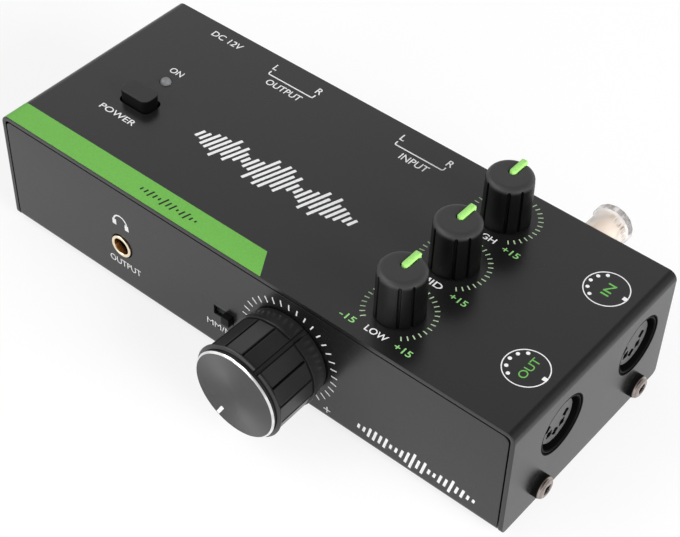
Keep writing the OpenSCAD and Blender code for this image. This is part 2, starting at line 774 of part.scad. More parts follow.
// Space of the pointer, wider by gap on each side
module eq_pointer_space(gap) block([-eq_pointer_w/2 - gap, eq_pointer_w/2 + gap],
    [eq_pointer_from - gap, eq_knob_r + 1], [eq_pointer_z - gap, eq_top_z + eq_pointer_up + 1]);

module eq_pot(y) color("#3f4144") on_board(eq_x, y) difference() {
    union() {
        block([-pot_w/2, pot_w/2], [-eq_pot_l/2, eq_pot_l/2], [0, pot_d]);
        rod(bush_r, pot_d, pot_d + eq_bush_l);
    }
    rod(shaft_r + shaft_clear, pot_d - pot_seat, pot_d + eq_bush_l + eps);
}

module eq_shaft(y) color("#c9c9c4") on_board(eq_x, y) rotate(90)
    d_shaft(shaft_r, shaft_flat, pot_d - pot_seat + shaft_end_gap,
        case_h - board_top + eq_bore_end - shaft_end_gap, case_h - board_top + flat_start);

module eq_knob(y) color("#242425") on_top(eq_x, y) difference() {
    rotate_extrude() polygon(eq_profile(0, 0));
    for (a = eq_groove_angles) rotate(90 + a)
        block([eq_shoulder_r - eq_groove_d, eq_knob_r + eps], [-eq_groove_w/2, eq_groove_w/2],
            [eq_knob_gap - eps, eq_groove_end]);
    rotate(90) d_shaft(shaft_r + knob_fit, shaft_flat + knob_fit, eq_knob_gap - eps, eq_bore_end,
        flat_start);
    difference() {
        eq_pointer_space(eq_inlay_gap);
        rotate_extrude() polygon(eq_profile(-eq_slot_d, -eq_slot_d));
    }
}

module eq_pointer(y) color("#a5f07c") on_top(eq_x, y) difference() {
    intersection() {
        rotate_extrude() polygon(eq_profile(eq_inlay_out, eq_pointer_up));
        eq_pointer_space(0);
    }
    rotate_extrude() polygon(eq_profile(eq_inlay_gap - eq_slot_d, eq_inlay_gap - eq_slot_d));
}

module low_pot() eq_pot(eq_low_y);
module low_pot_shaft() eq_shaft(eq_low_y);
module low_knob() eq_knob(eq_low_y);
module low_pointer() eq_pointer(eq_low_y);
module mid_pot() eq_pot(eq_mid_y);
module mid_pot_shaft() eq_shaft(eq_mid_y);
module mid_knob() eq_knob(eq_mid_y);
module mid_pointer() eq_pointer(eq_mid_y);
module high_pot() eq_pot(eq_high_y);
module high_pot_shaft() eq_shaft(eq_high_y);
module high_knob() eq_knob(eq_high_y);
module high_pointer() eq_pointer(eq_high_y);

// DIN sockets
module din_housing(y) color("#17181a") on_right(y, din_z) difference() {
    union() {
        block([-din_body_w/2, din_body_w/2], [-din_rise, din_body_up], [-sheet_t - din_body_d, -sheet_t]);
        rod(din_nose_r, -sheet_t, -din_sunk);
    }
    rod(din_bore_r, -din_depth, eps);
}

module din_insulator(y) color("#6f7072") on_right(y, din_z) difference() {
    rod(din_insert_r, -din_depth, -din_insert_sunk);
    for (a = din_contact_angles) rotate(a) translate([din_contact_ring_r, 0, 0]) {
        rod(din_contact_hole_r, -din_contact_l - din_contact_sunk, 0);
        for (turn = [0, 90]) rotate(turn)
            block([-din_slot_l/2, din_slot_l/2], [-din_slot_w/2, din_slot_w/2], [-din_slot_end, 0]);
    }
    block([-din_key_w/2, din_key_w/2], [din_insert_r - din_key_d, din_insert_r + eps],
        [-din_depth - eps, 0]);
}

module din_out_housing() din_housing(din_out_y);
module din_out_insulator() din_insulator(din_out_y);
module din_in_housing() din_housing(din_in_y);
module din_in_insulator() din_insulator(din_in_y);

module din_contacts() color("#b9a26a") for (y = [din_out_y, din_in_y], a = din_contact_angles)
    on_right(y, din_z) rotate(a) translate([din_contact_ring_r, 0, 0]) difference() {
        rod(din_contact_r, -din_contact_l - din_contact_sunk, -din_contact_sunk);
        rod(din_contact_bore_r, -din_contact_l, 0);
    }

// Phono jacks
module rca_block(x) color("#1d1d1f") on_rear(x, rca_z) difference() {
    union() {
        block([-rca_pitch/2 - rca_block_side, rca_pitch/2 + rca_block_side],
            [-rca_rise, rca_block_side], [-sheet_t - rca_block_d, -sheet_t]);
        for (s = [-1, 1]) translate([s*rca_pitch/2, 0, 0]) rod(rca_boss_r, -sheet_t, rca_boss_out);
    }
    for (s = [-1, 1]) translate([s*rca_pitch/2, 0, 0])
        rod(rca_tail_r + rca_fit, -sheet_t - rca_seat, rca_boss_out + eps);
}

module rca_shell(x) color("#c9cacb") on_rear(x, rca_z) difference() {
    union() {
        rod(rca_shell_r, rca_boss_out, rca_out);
        rod(rca_tail_r, -sheet_t - rca_seat, rca_boss_out);
    }
    rod(rca_shell_r - rca_shell_t, -sheet_t - rca_seat - eps, rca_out + eps);
}

module rca_insulator(x, tint) color(tint) on_rear(x, rca_z) difference() {
    rod(rca_shell_r - rca_shell_t - rca_fit, -sheet_t - rca_seat, rca_out - rca_insert_sunk);
    rod(rca_pin_hole_r, rca_out - rca_insert_sunk - rca_pin_hole_d, rca_out + eps);
}

module output_jack_block() rca_block(output_x);
module output_left_shell() rca_shell(output_x - rca_pitch/2);
module output_left_insulator() rca_insulator(output_x - rca_pitch/2, "#e8e8e2");
module output_right_shell() rca_shell(output_x + rca_pitch/2);
module output_right_insulator() rca_insulator(output_x + rca_pitch/2, "#b3201c");
module input_jack_block() rca_block(input_x);
module input_left_shell() rca_shell(input_x - rca_pitch/2);
module input_left_insulator() rca_insulator(input_x - rca_pitch/2, "#e8e8e2");
module input_right_shell() rca_shell(input_x + rca_pitch/2);
module input_right_insulator() rca_insulator(input_x + rca_pitch/2, "#b3201c");

// Power inlet
module power_inlet() color("#19191b") on_rear(inlet_x, inlet_z) difference() {
    union() {
        block([-inlet_body_w/2, inlet_body_w/2], [-inlet_rise, inlet_body_up],
            [-sheet_t - inlet_body_d, -sheet_t]);
        rod(inlet_nose_r, -sheet_t, inlet_nose_out);
    }
    rod(inlet_bore_r, -inlet_depth, eps);
}

module power_inlet_pin() color("#c4c4c0") on_rear(inlet_x, inlet_z)
    rod(inlet_pin_r, -inlet_depth, -inlet_pin_sunk);

// Ground post
module ground_post_stud() color("#c79a4b") on_rear(post_x, post_z) {
    rod(post_stud_r, -sheet_t - post_inner_l, post_stud_end);
    rod(post_collar_r, 0, post_collar_t);
}

module ground_post_locknut() color("#b8b8b4") on_rear(post_x, post_z) difference() {
    hex_rod(post_lock_af, -sheet_t - post_lock_t, -sheet_t);
    rod(post_stud_r + knob_fit, -sheet_t - post_lock_t - eps, 0);
}

module ground_post_washer() color("#c2a25a") on_rear(post_x, post_z) difference() {
    rod(post_collar_r, post_collar_t, post_nut_z);
    rod(post_stud_r + post_hole_gap, post_collar_t - eps, post_nut_z + eps);
}

module ground_nut() color("#e4e6e6", 0.6) on_rear(post_x, post_z) difference() {
    union() {
        rod(post_nut_r, post_nut_z, post_l);
        rod(post_rim_r, post_l - post_rim_l, post_l);
    }
    for (i = [0:post_flute_n - 1]) rotate(360*i/post_flute_n) translate([post_rim_r + 0.3, 0, 0])
        rod(post_flute_r, post_l - post_rim_l - eps, post_l + eps);
    rod(post_insert_r + knob_fit, post_nut_z - eps, post_insert_end);
}

module ground_nut_insert() color("#cf9f45") on_rear(post_x, post_z) difference() {
    rod(post_insert_r, post_nut_z, post_insert_end);
    rod(post_stud_r + post_clear, post_nut_z - eps, post_insert_end - 1);
}

top_cover();
base_chassis();
cover_screws();
rubber_feet();
main_board();
board_standoffs();
board_screws();
filter_capacitors();
film_capacitors();
amplifier_chips();
power_switch();
power_switch_plunger();
power_button();
power_led();
power_led_leads();
headphone_jack();
headphone_jack_bush();
mode_switch();
mode_switch_lever();
volume_pot();
volume_pot_nut();
volume_pot_shaft();
volume_knob();
volume_knob_cap();
volume_pointer();
low_pot();
low_pot_shaft();
low_knob();
low_pointer();
mid_pot();
mid_pot_shaft();
mid_knob();
mid_pointer();
high_pot();
high_pot_shaft();
high_knob();
high_pointer();
din_out_housing();
din_out_insulator();
din_in_housing();
din_in_insulator();
din_contacts();
output_jack_block();
output_left_shell();
output_left_insulator();
output_right_shell();
output_right_insulator();
input_jack_block();
input_left_shell();
input_left_insulator();
input_right_shell();
input_right_insulator();
power_inlet();
power_inlet_pin();
ground_post_stud();
ground_post_locknut();
ground_post_washer();
ground_nut();
ground_nut_insert();
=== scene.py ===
import math
from functools import partialmethod

import bmesh
import bpy
import numpy as np
from mathutils import Matrix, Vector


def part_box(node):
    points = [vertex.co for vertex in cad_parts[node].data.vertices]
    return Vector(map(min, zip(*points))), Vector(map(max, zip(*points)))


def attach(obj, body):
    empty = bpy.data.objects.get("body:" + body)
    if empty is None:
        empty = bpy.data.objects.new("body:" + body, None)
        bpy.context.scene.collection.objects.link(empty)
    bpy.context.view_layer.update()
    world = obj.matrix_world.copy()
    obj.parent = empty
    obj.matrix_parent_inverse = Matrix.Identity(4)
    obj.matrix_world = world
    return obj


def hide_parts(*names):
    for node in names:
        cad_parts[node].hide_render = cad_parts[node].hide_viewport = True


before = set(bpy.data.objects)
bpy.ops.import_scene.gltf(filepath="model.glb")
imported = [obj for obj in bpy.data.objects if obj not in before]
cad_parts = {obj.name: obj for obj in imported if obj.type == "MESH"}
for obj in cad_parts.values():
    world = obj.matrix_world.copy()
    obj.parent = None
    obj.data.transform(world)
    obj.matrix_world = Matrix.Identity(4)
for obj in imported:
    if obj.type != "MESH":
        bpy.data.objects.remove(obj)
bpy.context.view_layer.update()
mm = 0.001


# Places on the case, in mm
def corners(node):
    low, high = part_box(node)
    return np.array(low) / mm, np.array(high) / mm


def middle(node):
    return sum(corners(node)) / 2


caseLow, caseHigh = corners("top_cover")
caseMid = middle("top_cover")
faceAxes = {  # right, up and outward direction of each face
    "top": ((1, 0, 0), (0, 1, 0), (0, 0, 1)),
    "front": ((1, 0, 0), (0, 0, 1), (0, -1, 0)),
    "rear": ((-1, 0, 0), (0, 0, 1), (0, 1, 0)),
    "right": ((0, 1, 0), (0, 0, 1), (1, 0, 0)),
    "left": ((0, -1, 0), (0, 0, 1), (-1, 0, 0)),
    "bottom": ((1, 0, 0), (0, -1, 0), (0, 0, -1)),
}


# Point of the case's surface that a node is centred on.
def onFace(face, node):
    out = np.array(faceAxes[face][2])
    return np.where(out > 0, caseHigh, np.where(out < 0, caseLow, middle(node)))


# That point, half the node's width there, and its inner and outer end measured outwards from the surface.
def seat(face, node):
    origin, (low, high) = onFace(face, node), corners(node)
    right, _, out = np.array(faceAxes[face])
    return origin, abs((high - low) @ right) / 2, *sorted([(low - origin) @ out, (high - origin) @ out])


# Face coordinates in mm to the frame in metres: origin plus the face's three directions.
def toWorld(points, face, origin):
    return (np.asarray(origin) + np.asarray(points, float) @ np.array(faceAxes[face], float)) * mm


# Shader helpers
# Links a Wire to an input, or sets it; a colour may be one number, for a grey.
def plug(tree, place, value):
    if isinstance(value, Wire):
        tree.links.new(value.socket, place)
    else:
        place.default_value = (*np.broadcast_to(value, 3), 1.0) if place.type == "RGBA" else value


# An output socket that takes part in arithmetic; each operation is a Math node.
class Wire:
    def __init__(self, tree, socket):
        self.tree, self.socket = tree, socket

    def maths(self, operation, other=0.0, swapped=False):
        node = self.tree.nodes.new("ShaderNodeMath")
        node.operation = operation
        for place, value in zip(node.inputs, (other, self) if swapped else (self, other)):
            plug(self.tree, place, value)
        return Wire(self.tree, node.outputs[0])

    __add__ = __radd__ = partialmethod(maths, "ADD")
    __mul__ = __rmul__ = partialmethod(maths, "MULTIPLY")
    __sub__ = partialmethod(maths, "SUBTRACT")
    __rsub__ = partialmethod(maths, "SUBTRACT", swapped=True)
    __truediv__ = partialmethod(maths, "DIVIDE")
    above = partialmethod(maths, "GREATER_THAN")
    below = partialmethod(maths, "LESS_THAN")

    # 0 below low and 1 above high, with a smooth step between.
    def ramp(self, low, high):
        node = self.tree.nodes.new("ShaderNodeMapRange")
        node.interpolation_type = "SMOOTHSTEP"
        for name, value in (("Value", self), ("From Min", low), ("From Max", high)):
            plug(self.tree, node.inputs[name], value)
        return Wire(self.tree, node.outputs[0])


shaderNames = {
    "colour": "Base Color", "roughness": "Roughness", "metallic": "Metallic", "normal": "Normal",
    "specular": "Specular IOR Level", "coat": "Coat Weight", "clear": "Transmission Weight", "ior": "IOR",
}


# A material with a Principled shader, whose nodes are added one call at a time.
class Finish:
    def __init__(self, name, **fixed):
        self.material = bpy.data.materials.new(name)
        self.material.use_nodes = True
        self.tree = self.material.node_tree
        self.shader = self.tree.nodes["Principled BSDF"]
        self.coords = self.add("ShaderNodeTexCoord", output="Object")
        for key, value in fixed.items():
            self.set(key, value)

    def add(self, kind, settings={}, inputs={}, output=0):
        node = self.tree.nodes.new(kind)
        for name, value in settings.items():
            setattr(node, name, value)
        for name, value in inputs.items():
            plug(self.tree, node.inputs[name], value)
        return Wire(self.tree, node.outputs[output])

    def set(self, name, value):
        plug(self.tree, self.shader.inputs[shaderNames[name]], value)

    # Noise from 0 to 1 whose grains are about size mm; stretch scales the three directions.
    def noise(self, size, detail=2.0, stretch=None):
        where = self.coords
        if stretch:
            where = self.add("ShaderNodeMapping", {}, {"Vector": where, "Scale": stretch})
        return self.add("ShaderNodeTexNoise", {},
                        {"Vector": where, "Scale": 1 / (size * mm), "Detail": detail})

    def blend(self, factor, first, second):
        return self.add("ShaderNodeMix", {"data_type": "RGBA"}, {0: factor, 6: first, 7: second}, 2)

    # Two colours in soft blotches of about size mm.
    def blotches(self, size, first, second, detail=3.0):
        return self.blend(self.noise(size, detail).ramp(0.3, 0.7), first, second)

    # Base colour that varies by amount either way over grains of size mm.
    def speckle(self, colour, size, amount):
        shades = (np.minimum(np.multiply(colour, share), 1) for share in (1 - amount, 1 + amount))
        self.set("colour", self.blotches(size, *shades))

    # Raises the surface by height times depth mm.
    def bump(self, height, depth):
        self.set("normal", self.add("ShaderNodeBump", {}, {"Height": height, "Distance": depth * mm}))

    # Roughness of least plus share times a noise of size mm, and a bump from a noise of grain mm.
    def surface(self, size, share, least, grain=None, depth=0.004, detail=2.0):
        self.set("roughness", self.noise(size, detail) * share + least)
        if grain:
            self.bump(self.noise(grain), depth)
        return self.material

    # Distance in mm along an axis from start.
    def along(self, axis, start):
        return self.add("ShaderNodeSeparateXYZ", {}, {0: self.coords}, axis) / mm - start

    # Distance in mm from the line along Y through centre.
    def offAxis(self, centre):
        x, z = self.along(0, centre[0]), self.along(2, centre[2])
        return (x * x + z * z).maths("SQRT")


# Cured powder paint: an orange peel of about half a millimetre with a finer grain on it.
def powderCoat(name, colour):
    made = Finish(name, specular=0.5)
    made.speckle(colour, 0.35, 0.12)
    peel, grain = made.noise(0.55), made.noise(0.16)
    made.bump(peel * 0.6 + grain * 0.4, 0.007)
    return made.surface(6.0, 0.05, grain * 0.05 + 0.21)


def ink(name, colour):
    made = Finish(name, specular=0.3)
    made.speckle(colour, 0.5, 0.05)
    return made.surface(0.4, 0.1, 0.5, 0.3)


# Injection moulded plastic with a fine spark-eroded texture; its colour may be a function of the finish.
def moulding(name, colour, roughness=0.42, grain=0.12, depth=0.004, **fixed):
    made = Finish(name, **fixed)
    if callable(colour):
        made.set("colour", colour(made))
    else:
        made.speckle(colour, grain * 3, 0.08)
    return made.surface(2.5, 0.08, roughness - 0.04, grain, depth)


# Plated or polished metal with slight tarnish and fine handling marks.
def plated(name, colour, roughness):
    made = Finish(name, metallic=1.0)
    made.speckle(colour, 1.2, 0.06)
    return made.surface(0.3, 0.12, roughness - 0.05, 0.6, 0.002, 3.0)


# Painted shade: black below the insulator's front face, inside the contact slots, with the grey moulding
# above it.
def insulatorColour(made):
    face = made.along(0, corners("din_in_insulator")[1][0]).above(-0.12)
    return made.blend(face, 0.002, made.blotches(0.4, 0.062, 0.078))


# Bronze-toned plating that a per-point value of painted shade turns into black in the screw's hollow, in its
# turned step and on its sides.
def screwPlate():
    made = Finish("screw_plate", specular=0.05)
    recess = made.add("ShaderNodeAttribute", {"attribute_name": "recess"}, output="Fac")
    metal = made.blotches(1.2, (0.33, 0.275, 0.255), (0.42, 0.36, 0.335))
    made.set("colour", made.blend(recess, metal, 0.004))
    made.set("metallic", 1.0 - recess)
    return made.surface(0.3, 0.1, recess * 0.4 + 0.16, 0.5, 0.008, 3.0)


# Solder mask with faint tracks under it and a scatter of tinned pads.
def circuitBoard():
    made = Finish("circuit_board", specular=0.5)

    def cells(distance, scale):
        return made.add("ShaderNodeTexVoronoi", {"distance": distance},
                        {"Vector": made.coords, "Scale": scale})

    tracks = cells("CHEBYCHEV", 320.0).ramp(0.28, 0.36)
    base = made.blend(tracks, (0.02, 0.10, 0.045), (0.03, 0.16, 0.07))
    made.set("colour", made.blend(cells("EUCLIDEAN", 390.0).below(0.17), base, (0.55, 0.53, 0.45)))
    made.bump(tracks, 0.02)
    return made.surface(1.5, 0.1, 0.3)


# Printed shrink sleeve, with a bare aluminium top.
def capacitorSleeve():
    made = Finish("capacitor_sleeve", specular=0.5)
    top = made.along(2, corners("filter_capacitors")[1][2]).above(-0.35)
    sleeve = made.blotches(0.8, (0.012, 0.012, 0.045), (0.02, 0.02, 0.06), 2.0)
    made.set("colour", made.blend(top, sleeve, 0.7))
    made.set("metallic", top)
    return made.surface(0.6, 0.1, 0.28)


finishes = {
    "casePaint": powderCoat("case_powder_coat", (0.0096, 0.0096, 0.0100)),
    "whiteInk": ink("white_print", 0.80),
    "softInk": ink("light_grey_print", 0.72),
    "greenInk": ink("green_print", (0.15, 0.43, 0.075)),
    "paleInk": ink("pale_green_print", (0.45, 0.60, 0.38)),
    "labelInk": ink("label_green_print", (0.27, 0.60, 0.20)),
    "deepInk": ink("deep_green_print", (0.14, 0.42, 0.09)),
    "blackInk": ink("black_print", 0.012),
    "volumeBlack": moulding("volume_knob_plastic", (0.012, 0.012, 0.0122), 0.30, specular=0.52),
    "blackPlastic": moulding("black_moulding", (0.007, 0.007, 0.0075), 0.4, specular=0.45),
    "socketBlack": moulding("socket_moulding", 0.005, 0.45, specular=0.01),
    "leverBlack": moulding("lever_plastic", 0.003, 0.5, specular=0.15),
    # DIN contacts painted black, as the shade inside the contact holes.
    "contactShadeBlack": moulding("contact_painted_shade", 0.006, 0.5, specular=0.1),
    "greyInsulator": moulding("grey_moulding", insulatorColour, 0.5, specular=0.35),
    "pointerGreen": moulding("pointer_inlay", (0.335, 0.70, 0.175), 0.5),
    "markWhite": moulding("index_mark_paint", (0.85, 0.85, 0.83), 0.5),
    "whiteInsulator": moulding("white_nylon", (0.78, 0.78, 0.75), 0.35),
    "redInsulator": moulding("red_nylon", (0.50, 0.02, 0.015), 0.35),
    "paleMoulding": moulding("natural_nylon", (0.62, 0.61, 0.56), 0.4),
    "filmRed": moulding("dipped_film", (0.42, 0.035, 0.025), 0.28, 0.5, 0.01),
    "rubber": moulding("foot_rubber", 0.02, 0.75, 0.25, 0.01),
    "gold": plated("gold_plate", (0.86, 0.62, 0.33), 0.2),
    "brass": plated("turned_brass", (0.72, 0.54, 0.28), 0.3),
    "nickel": plated("bright_nickel", (0.74, 0.73, 0.71), 0.18),
    "zinc": plated("zinc_plate", (0.62, 0.63, 0.64), 0.32),
    "screwMetal": screwPlate(), "board": circuitBoard(), "sleeve": capacitorSleeve(),
}


# Mesh helpers
# Quads of a grid of points that is numbered row by row, joined round where it wraps.
def gridFaces(rows, columns, wrapRows=False, wrapColumns=False):
    i, j = np.ogrid[:rows - (not wrapRows), :columns - (not wrapColumns)]
    nextI, nextJ = (i + 1) % rows, (j + 1) % columns
    quads = (i * columns + j, nextI * columns + j, nextI * columns + nextJ, i * columns + nextJ)
    return np.stack(quads, -1).reshape(-1, 4)


# Merges points that coincide and turns the faces outwards.
def weld(mesh, distance=1e-7):
    work = bmesh.new()
    work.from_mesh(mesh)
    bmesh.ops.remove_doubles(work, verts=work.verts, dist=distance)
    bmesh.ops.recalc_face_normals(work, faces=work.faces)
    work.to_mesh(mesh)
    work.free()


def linked(name, data):
    thing = bpy.data.objects.new(name, data)
    bpy.context.scene.collection.objects.link(thing)
    return thing


# Points and faces of an object with its modifiers applied; the object itself goes.
def baked(thing):
    mesh = bpy.data.meshes.new_from_object(thing.evaluated_get(bpy.context.evaluated_depsgraph_get()))
    points = np.empty(len(mesh.vertices) * 3)
    mesh.vertices.foreach_get("co", points)
    bpy.data.objects.remove(thing)
    return points.reshape(-1, 3), [list(p.vertices) for p in mesh.polygons]


# Makes a mesh a piece that rides on a body and stands for the nodes it replaces.
def toPiece(mesh, finish, body, replaces, sharp):
    mesh.shade_smooth()
    mesh.set_sharp_from_angle(angle=math.radians(sharp))
    mesh.materials.append(finishes.get(finish, finish))
    piece = linked(mesh.name, mesh)
    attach(piece, body)
    if replaces:
        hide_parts(*replaces)
    return piece


# A piece from points in the frame, in metres; finish is a name or a material; values, if given, go on its
# points as the painted shade that a material reads.
def addPiece(name, verts, faces, finish, body, slot, replaces=(), sharp=32, values=None):
    mesh = bpy.data.meshes.new(name)
    mesh.from_pydata(np.asarray(verts).reshape(-1, 3).tolist(), [], [list(map(int, f)) for f in faces])
    if values is not None:
        mesh.attributes.new("recess", "FLOAT", "POINT").data.foreach_set("value", values)
    weld(mesh)
    toPiece(mesh, finish, body, replaces, sharp)


# A piece from a grid of points on a face; wrap says whether its rows and its columns join round.
def addGrid(name, grid, wrap, face, origin, *rest, **options):
    addPiece(name, toWorld(grid, face, origin), gridFaces(*grid.shape[:2], *wrap), *rest, **options)


# Points turned by an angle about their Z axis.
def spun(points, angle):
    c, s = math.cos(angle), math.sin(angle)
    return points @ np.array([[c, s, 0], [-s, c, 0], [0, 0, 1]])


# Turned grids joined as one mesh.
def joined(grids):
    starts = np.cumsum([0] + [grid.size // 3 for grid in grids])
    faces = [gridFaces(*grid.shape[:2], True) + start for grid, start in zip(grids, starts)]
    return np.concatenate([grid.reshape(-1, 3) for grid in grids]), np.concatenate(faces)


# An outline whose corners become short curves: each is a parabola that starts and ends radius away.
def soften(points, radii, steps=5):
    points = np.array(points, float)
    radii = np.broadcast_to(radii, len(points))
    made = [points[0]]
    for i in range(1, len(points) - 1):
        before, after = points[i - 1] - points[i], points[i + 1] - points[i]
        cut = min(radii[i], 0.48 * np.hypot(*before), 0.48 * np.hypot(*after))
        if cut <= 0:
            made.append(points[i])
            continue
        start = points[i] + before / np.hypot(*before) * cut
        end = points[i] + after / np.hypot(*after) * cut
        t = np.linspace(0, 1, steps + 1)[:, None]
        made.extend((1 - t) ** 2 * start + 2 * t * (1 - t) * points[i] + t ** 2 * end)
    return np.array([*made, points[-1]])


# The same outline with no stretch longer than step.
def refine(points, step):
    made = [points[0]]
    for a, b in zip(points[:-1], points[1:]):
        count = max(1, int(math.ceil(np.hypot(*(b - a)) / step)))
        made.extend(a + (b - a) * t for t in np.linspace(0, 1, count + 1)[1:])
    return np.array(made)


# A profile of (radius, height) points carried round the local Z axis.
# reach gives the radius from the angle, radius and height where the piece isn't round.
def turned(profile, angles=96, reach=None):
    if np.isscalar(angles):
        angles = np.linspace(0, 2 * np.pi, angles, endpoint=False)
    theta, radius = np.meshgrid(angles, profile[:, 0], indexing="ij")
    height = np.broadcast_to(profile[:, 1], theta.shape)
    if reach:
        radius = reach(theta, radius, height)
    return np.stack([radius * np.cos(theta), radius * np.sin(theta), height], -1)


# A turned piece on a face; a ring's profile closes on itself, and any other ends on the axis.
def addTurned(name, profile, *rest, angles=96, reach=None, ring=False, **options):
    addGrid(name, turned(np.array(profile, float), angles, reach), (True, ring), *rest, **options)


# Rectangle with quarter-circle corners, anticlockwise from the right-hand upper one.
def roundedOutline(length, width, radii, steps=10):
    turns = np.linspace(0, np.pi / 2, steps)
    quarter = np.stack([np.cos(turns), np.sin(turns)], -1)
    made = []
    for turn, (x, y, radius) in enumerate(zip((1, -1, -1, 1), (1, 1, -1, -1), np.broadcast_to(radii, 4))):
        c, s = math.cos(turn * np.pi / 2), math.sin(turn * np.pi / 2)
        centre = (x * (length / 2 - radius), y * (width / 2 - radius))
        made.append(quarter * radius @ np.array([[c, s], [-s, c]]) + centre)
    return np.concatenate(made)


# Rounded rectangles stacked up: each level is (inset, height), and both ends close on a point.
def lofted(length, width, radius, levels):
    rings = []
    for inset, height in levels:
        radii = np.maximum(np.array(radius) - inset, 0.02)
        ring = roundedOutline(length - 2 * inset, width - 2 * inset, radii)
        rings.append(np.column_stack([ring, np.full(len(ring), height)]))
    first, last = (np.tile(ring.mean(0), (len(ring), 1)) for ring in (rings[0], rings[-1]))
    return np.array([first, *rings, last])


# The CAD node's own shape with its edges broken by a small bevel.
def softCopy(node, finish, bevel, body="case"):
    work = bmesh.new()
    work.from_mesh(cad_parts[node].data)
    bmesh.ops.remove_doubles(work, verts=work.verts, dist=2e-6)
    bmesh.ops.dissolve_limit(work, angle_limit=math.radians(0.6), verts=work.verts, edges=work.edges)
    edges = [e for e in work.edges if len(e.link_faces) == 2 and e.calc_face_angle(0) > math.radians(30)]
    bmesh.ops.bevel(work, geom=edges, offset=bevel * mm, offset_type="OFFSET", segments=2, profile=0.5,
                    affect="EDGES", clamp_overlap=True)
    bmesh.ops.triangulate(work, faces=[f for f in work.faces if len(f.verts) > 4])
    mesh = bpy.data.meshes.new(node + "_softened")
    work.to_mesh(mesh)
    work.free()
    even = toPiece(mesh, finish, body, [node], 28).modifiers.new("even", "WEIGHTED_NORMAL")
    even.keep_sharp = True
    even.weight = 100


# Placement with the three directions given.
def placement(right, up, back, place):
    columns = np.column_stack([right, up, back, place])
    return Matrix(np.vstack([columns, (0, 0, 0, 1)]).tolist())


# Camera
view = {"azimuth": 38.77, "elevation": 45.31, "roll": 1.65, "distance": 414.0, "right": 4.33, "up": 5.21,
        "lens": 86.35}


def makeCamera():
    a, e, r = (math.radians(view[k]) for k in ("azimuth", "elevation", "roll"))
    back = np.array([math.sin(a) * math.cos(e), -math.cos(a) * math.cos(e), math.sin(e)])
    level = np.cross(-back, (0, 0, 1))
    level /= np.linalg.norm(level)
    upright = np.cross(level, -back)
    right = math.cos(r) * level + math.sin(r) * upright
    up = -math.sin(r) * level + math.cos(r) * upright
    foot = np.array([caseMid[0], caseMid[1], caseLow[2]])
    place = (foot + back * view["distance"] + right * view["right"] + up * view["up"]) * mm
    data = bpy.data.cameras.new("camera")
    data.lens, data.sensor_width, data.clip_start = view["lens"], 36, 0.01
    camera = linked("camera", data)
    camera.matrix_world = placement(right, up, back, place)
    bpy.context.scene.camera = camera


makeCamera()
print("camera placed")


# Case sheets
for sheet in ("top_cover", "base_chassis"):
    softCopy(sheet, "casePaint", 0.16)
print("case sheets done")


# Volume knob
volume = {"facets": 15, "turn": 242.0, "grooveHalf": 0.29, "grooveFloor": 11.2, "wideHalf": 0.68,
          "wideFloor": 11.75, "lineFloor": 11.4, "lineFrom": 0.5, "edgeRadius": 12.36, "nutSpace": 7.2,
          "nutDepth": 4.4, "shaftRadius": 3.05, "shaftEnd": 16.2,
          # first and last distance from the panel
          "faceted": (5.32, 16.7), "grooved": (5.6, 16.52), "wideEnds": (0.3, 17.6),
          "outline": [  # distance from the panel, radius
              (0.4, 11.45), (0.46, 11.62), (0.6, 11.69), (1.8, 11.92), (3.4, 12.22), (5.16, 12.52),
              (5.24, 12.52), (5.28, 12.49), (5.3, 12.36), (5.34, 11.9), (5.5, 11.9), (5.54, 12.05),
              (5.62, 12.28), (8.0, 12.32), (12.0, 12.37), (16.2, 12.43), (16.42, 12.4), (16.5, 12.2),
              (16.54, 12.0), (16.68, 12.0), (16.72, 12.3), (16.78, 12.62), (16.88, 12.72), (17.12, 12.74),
              (17.24, 12.68), (17.45, 12.3), (17.58, 12.02), (17.62, 11.9), (17.64, 11.6), (18.28, 11.58),
              (18.3, 11.5), (18.3, 0)]}


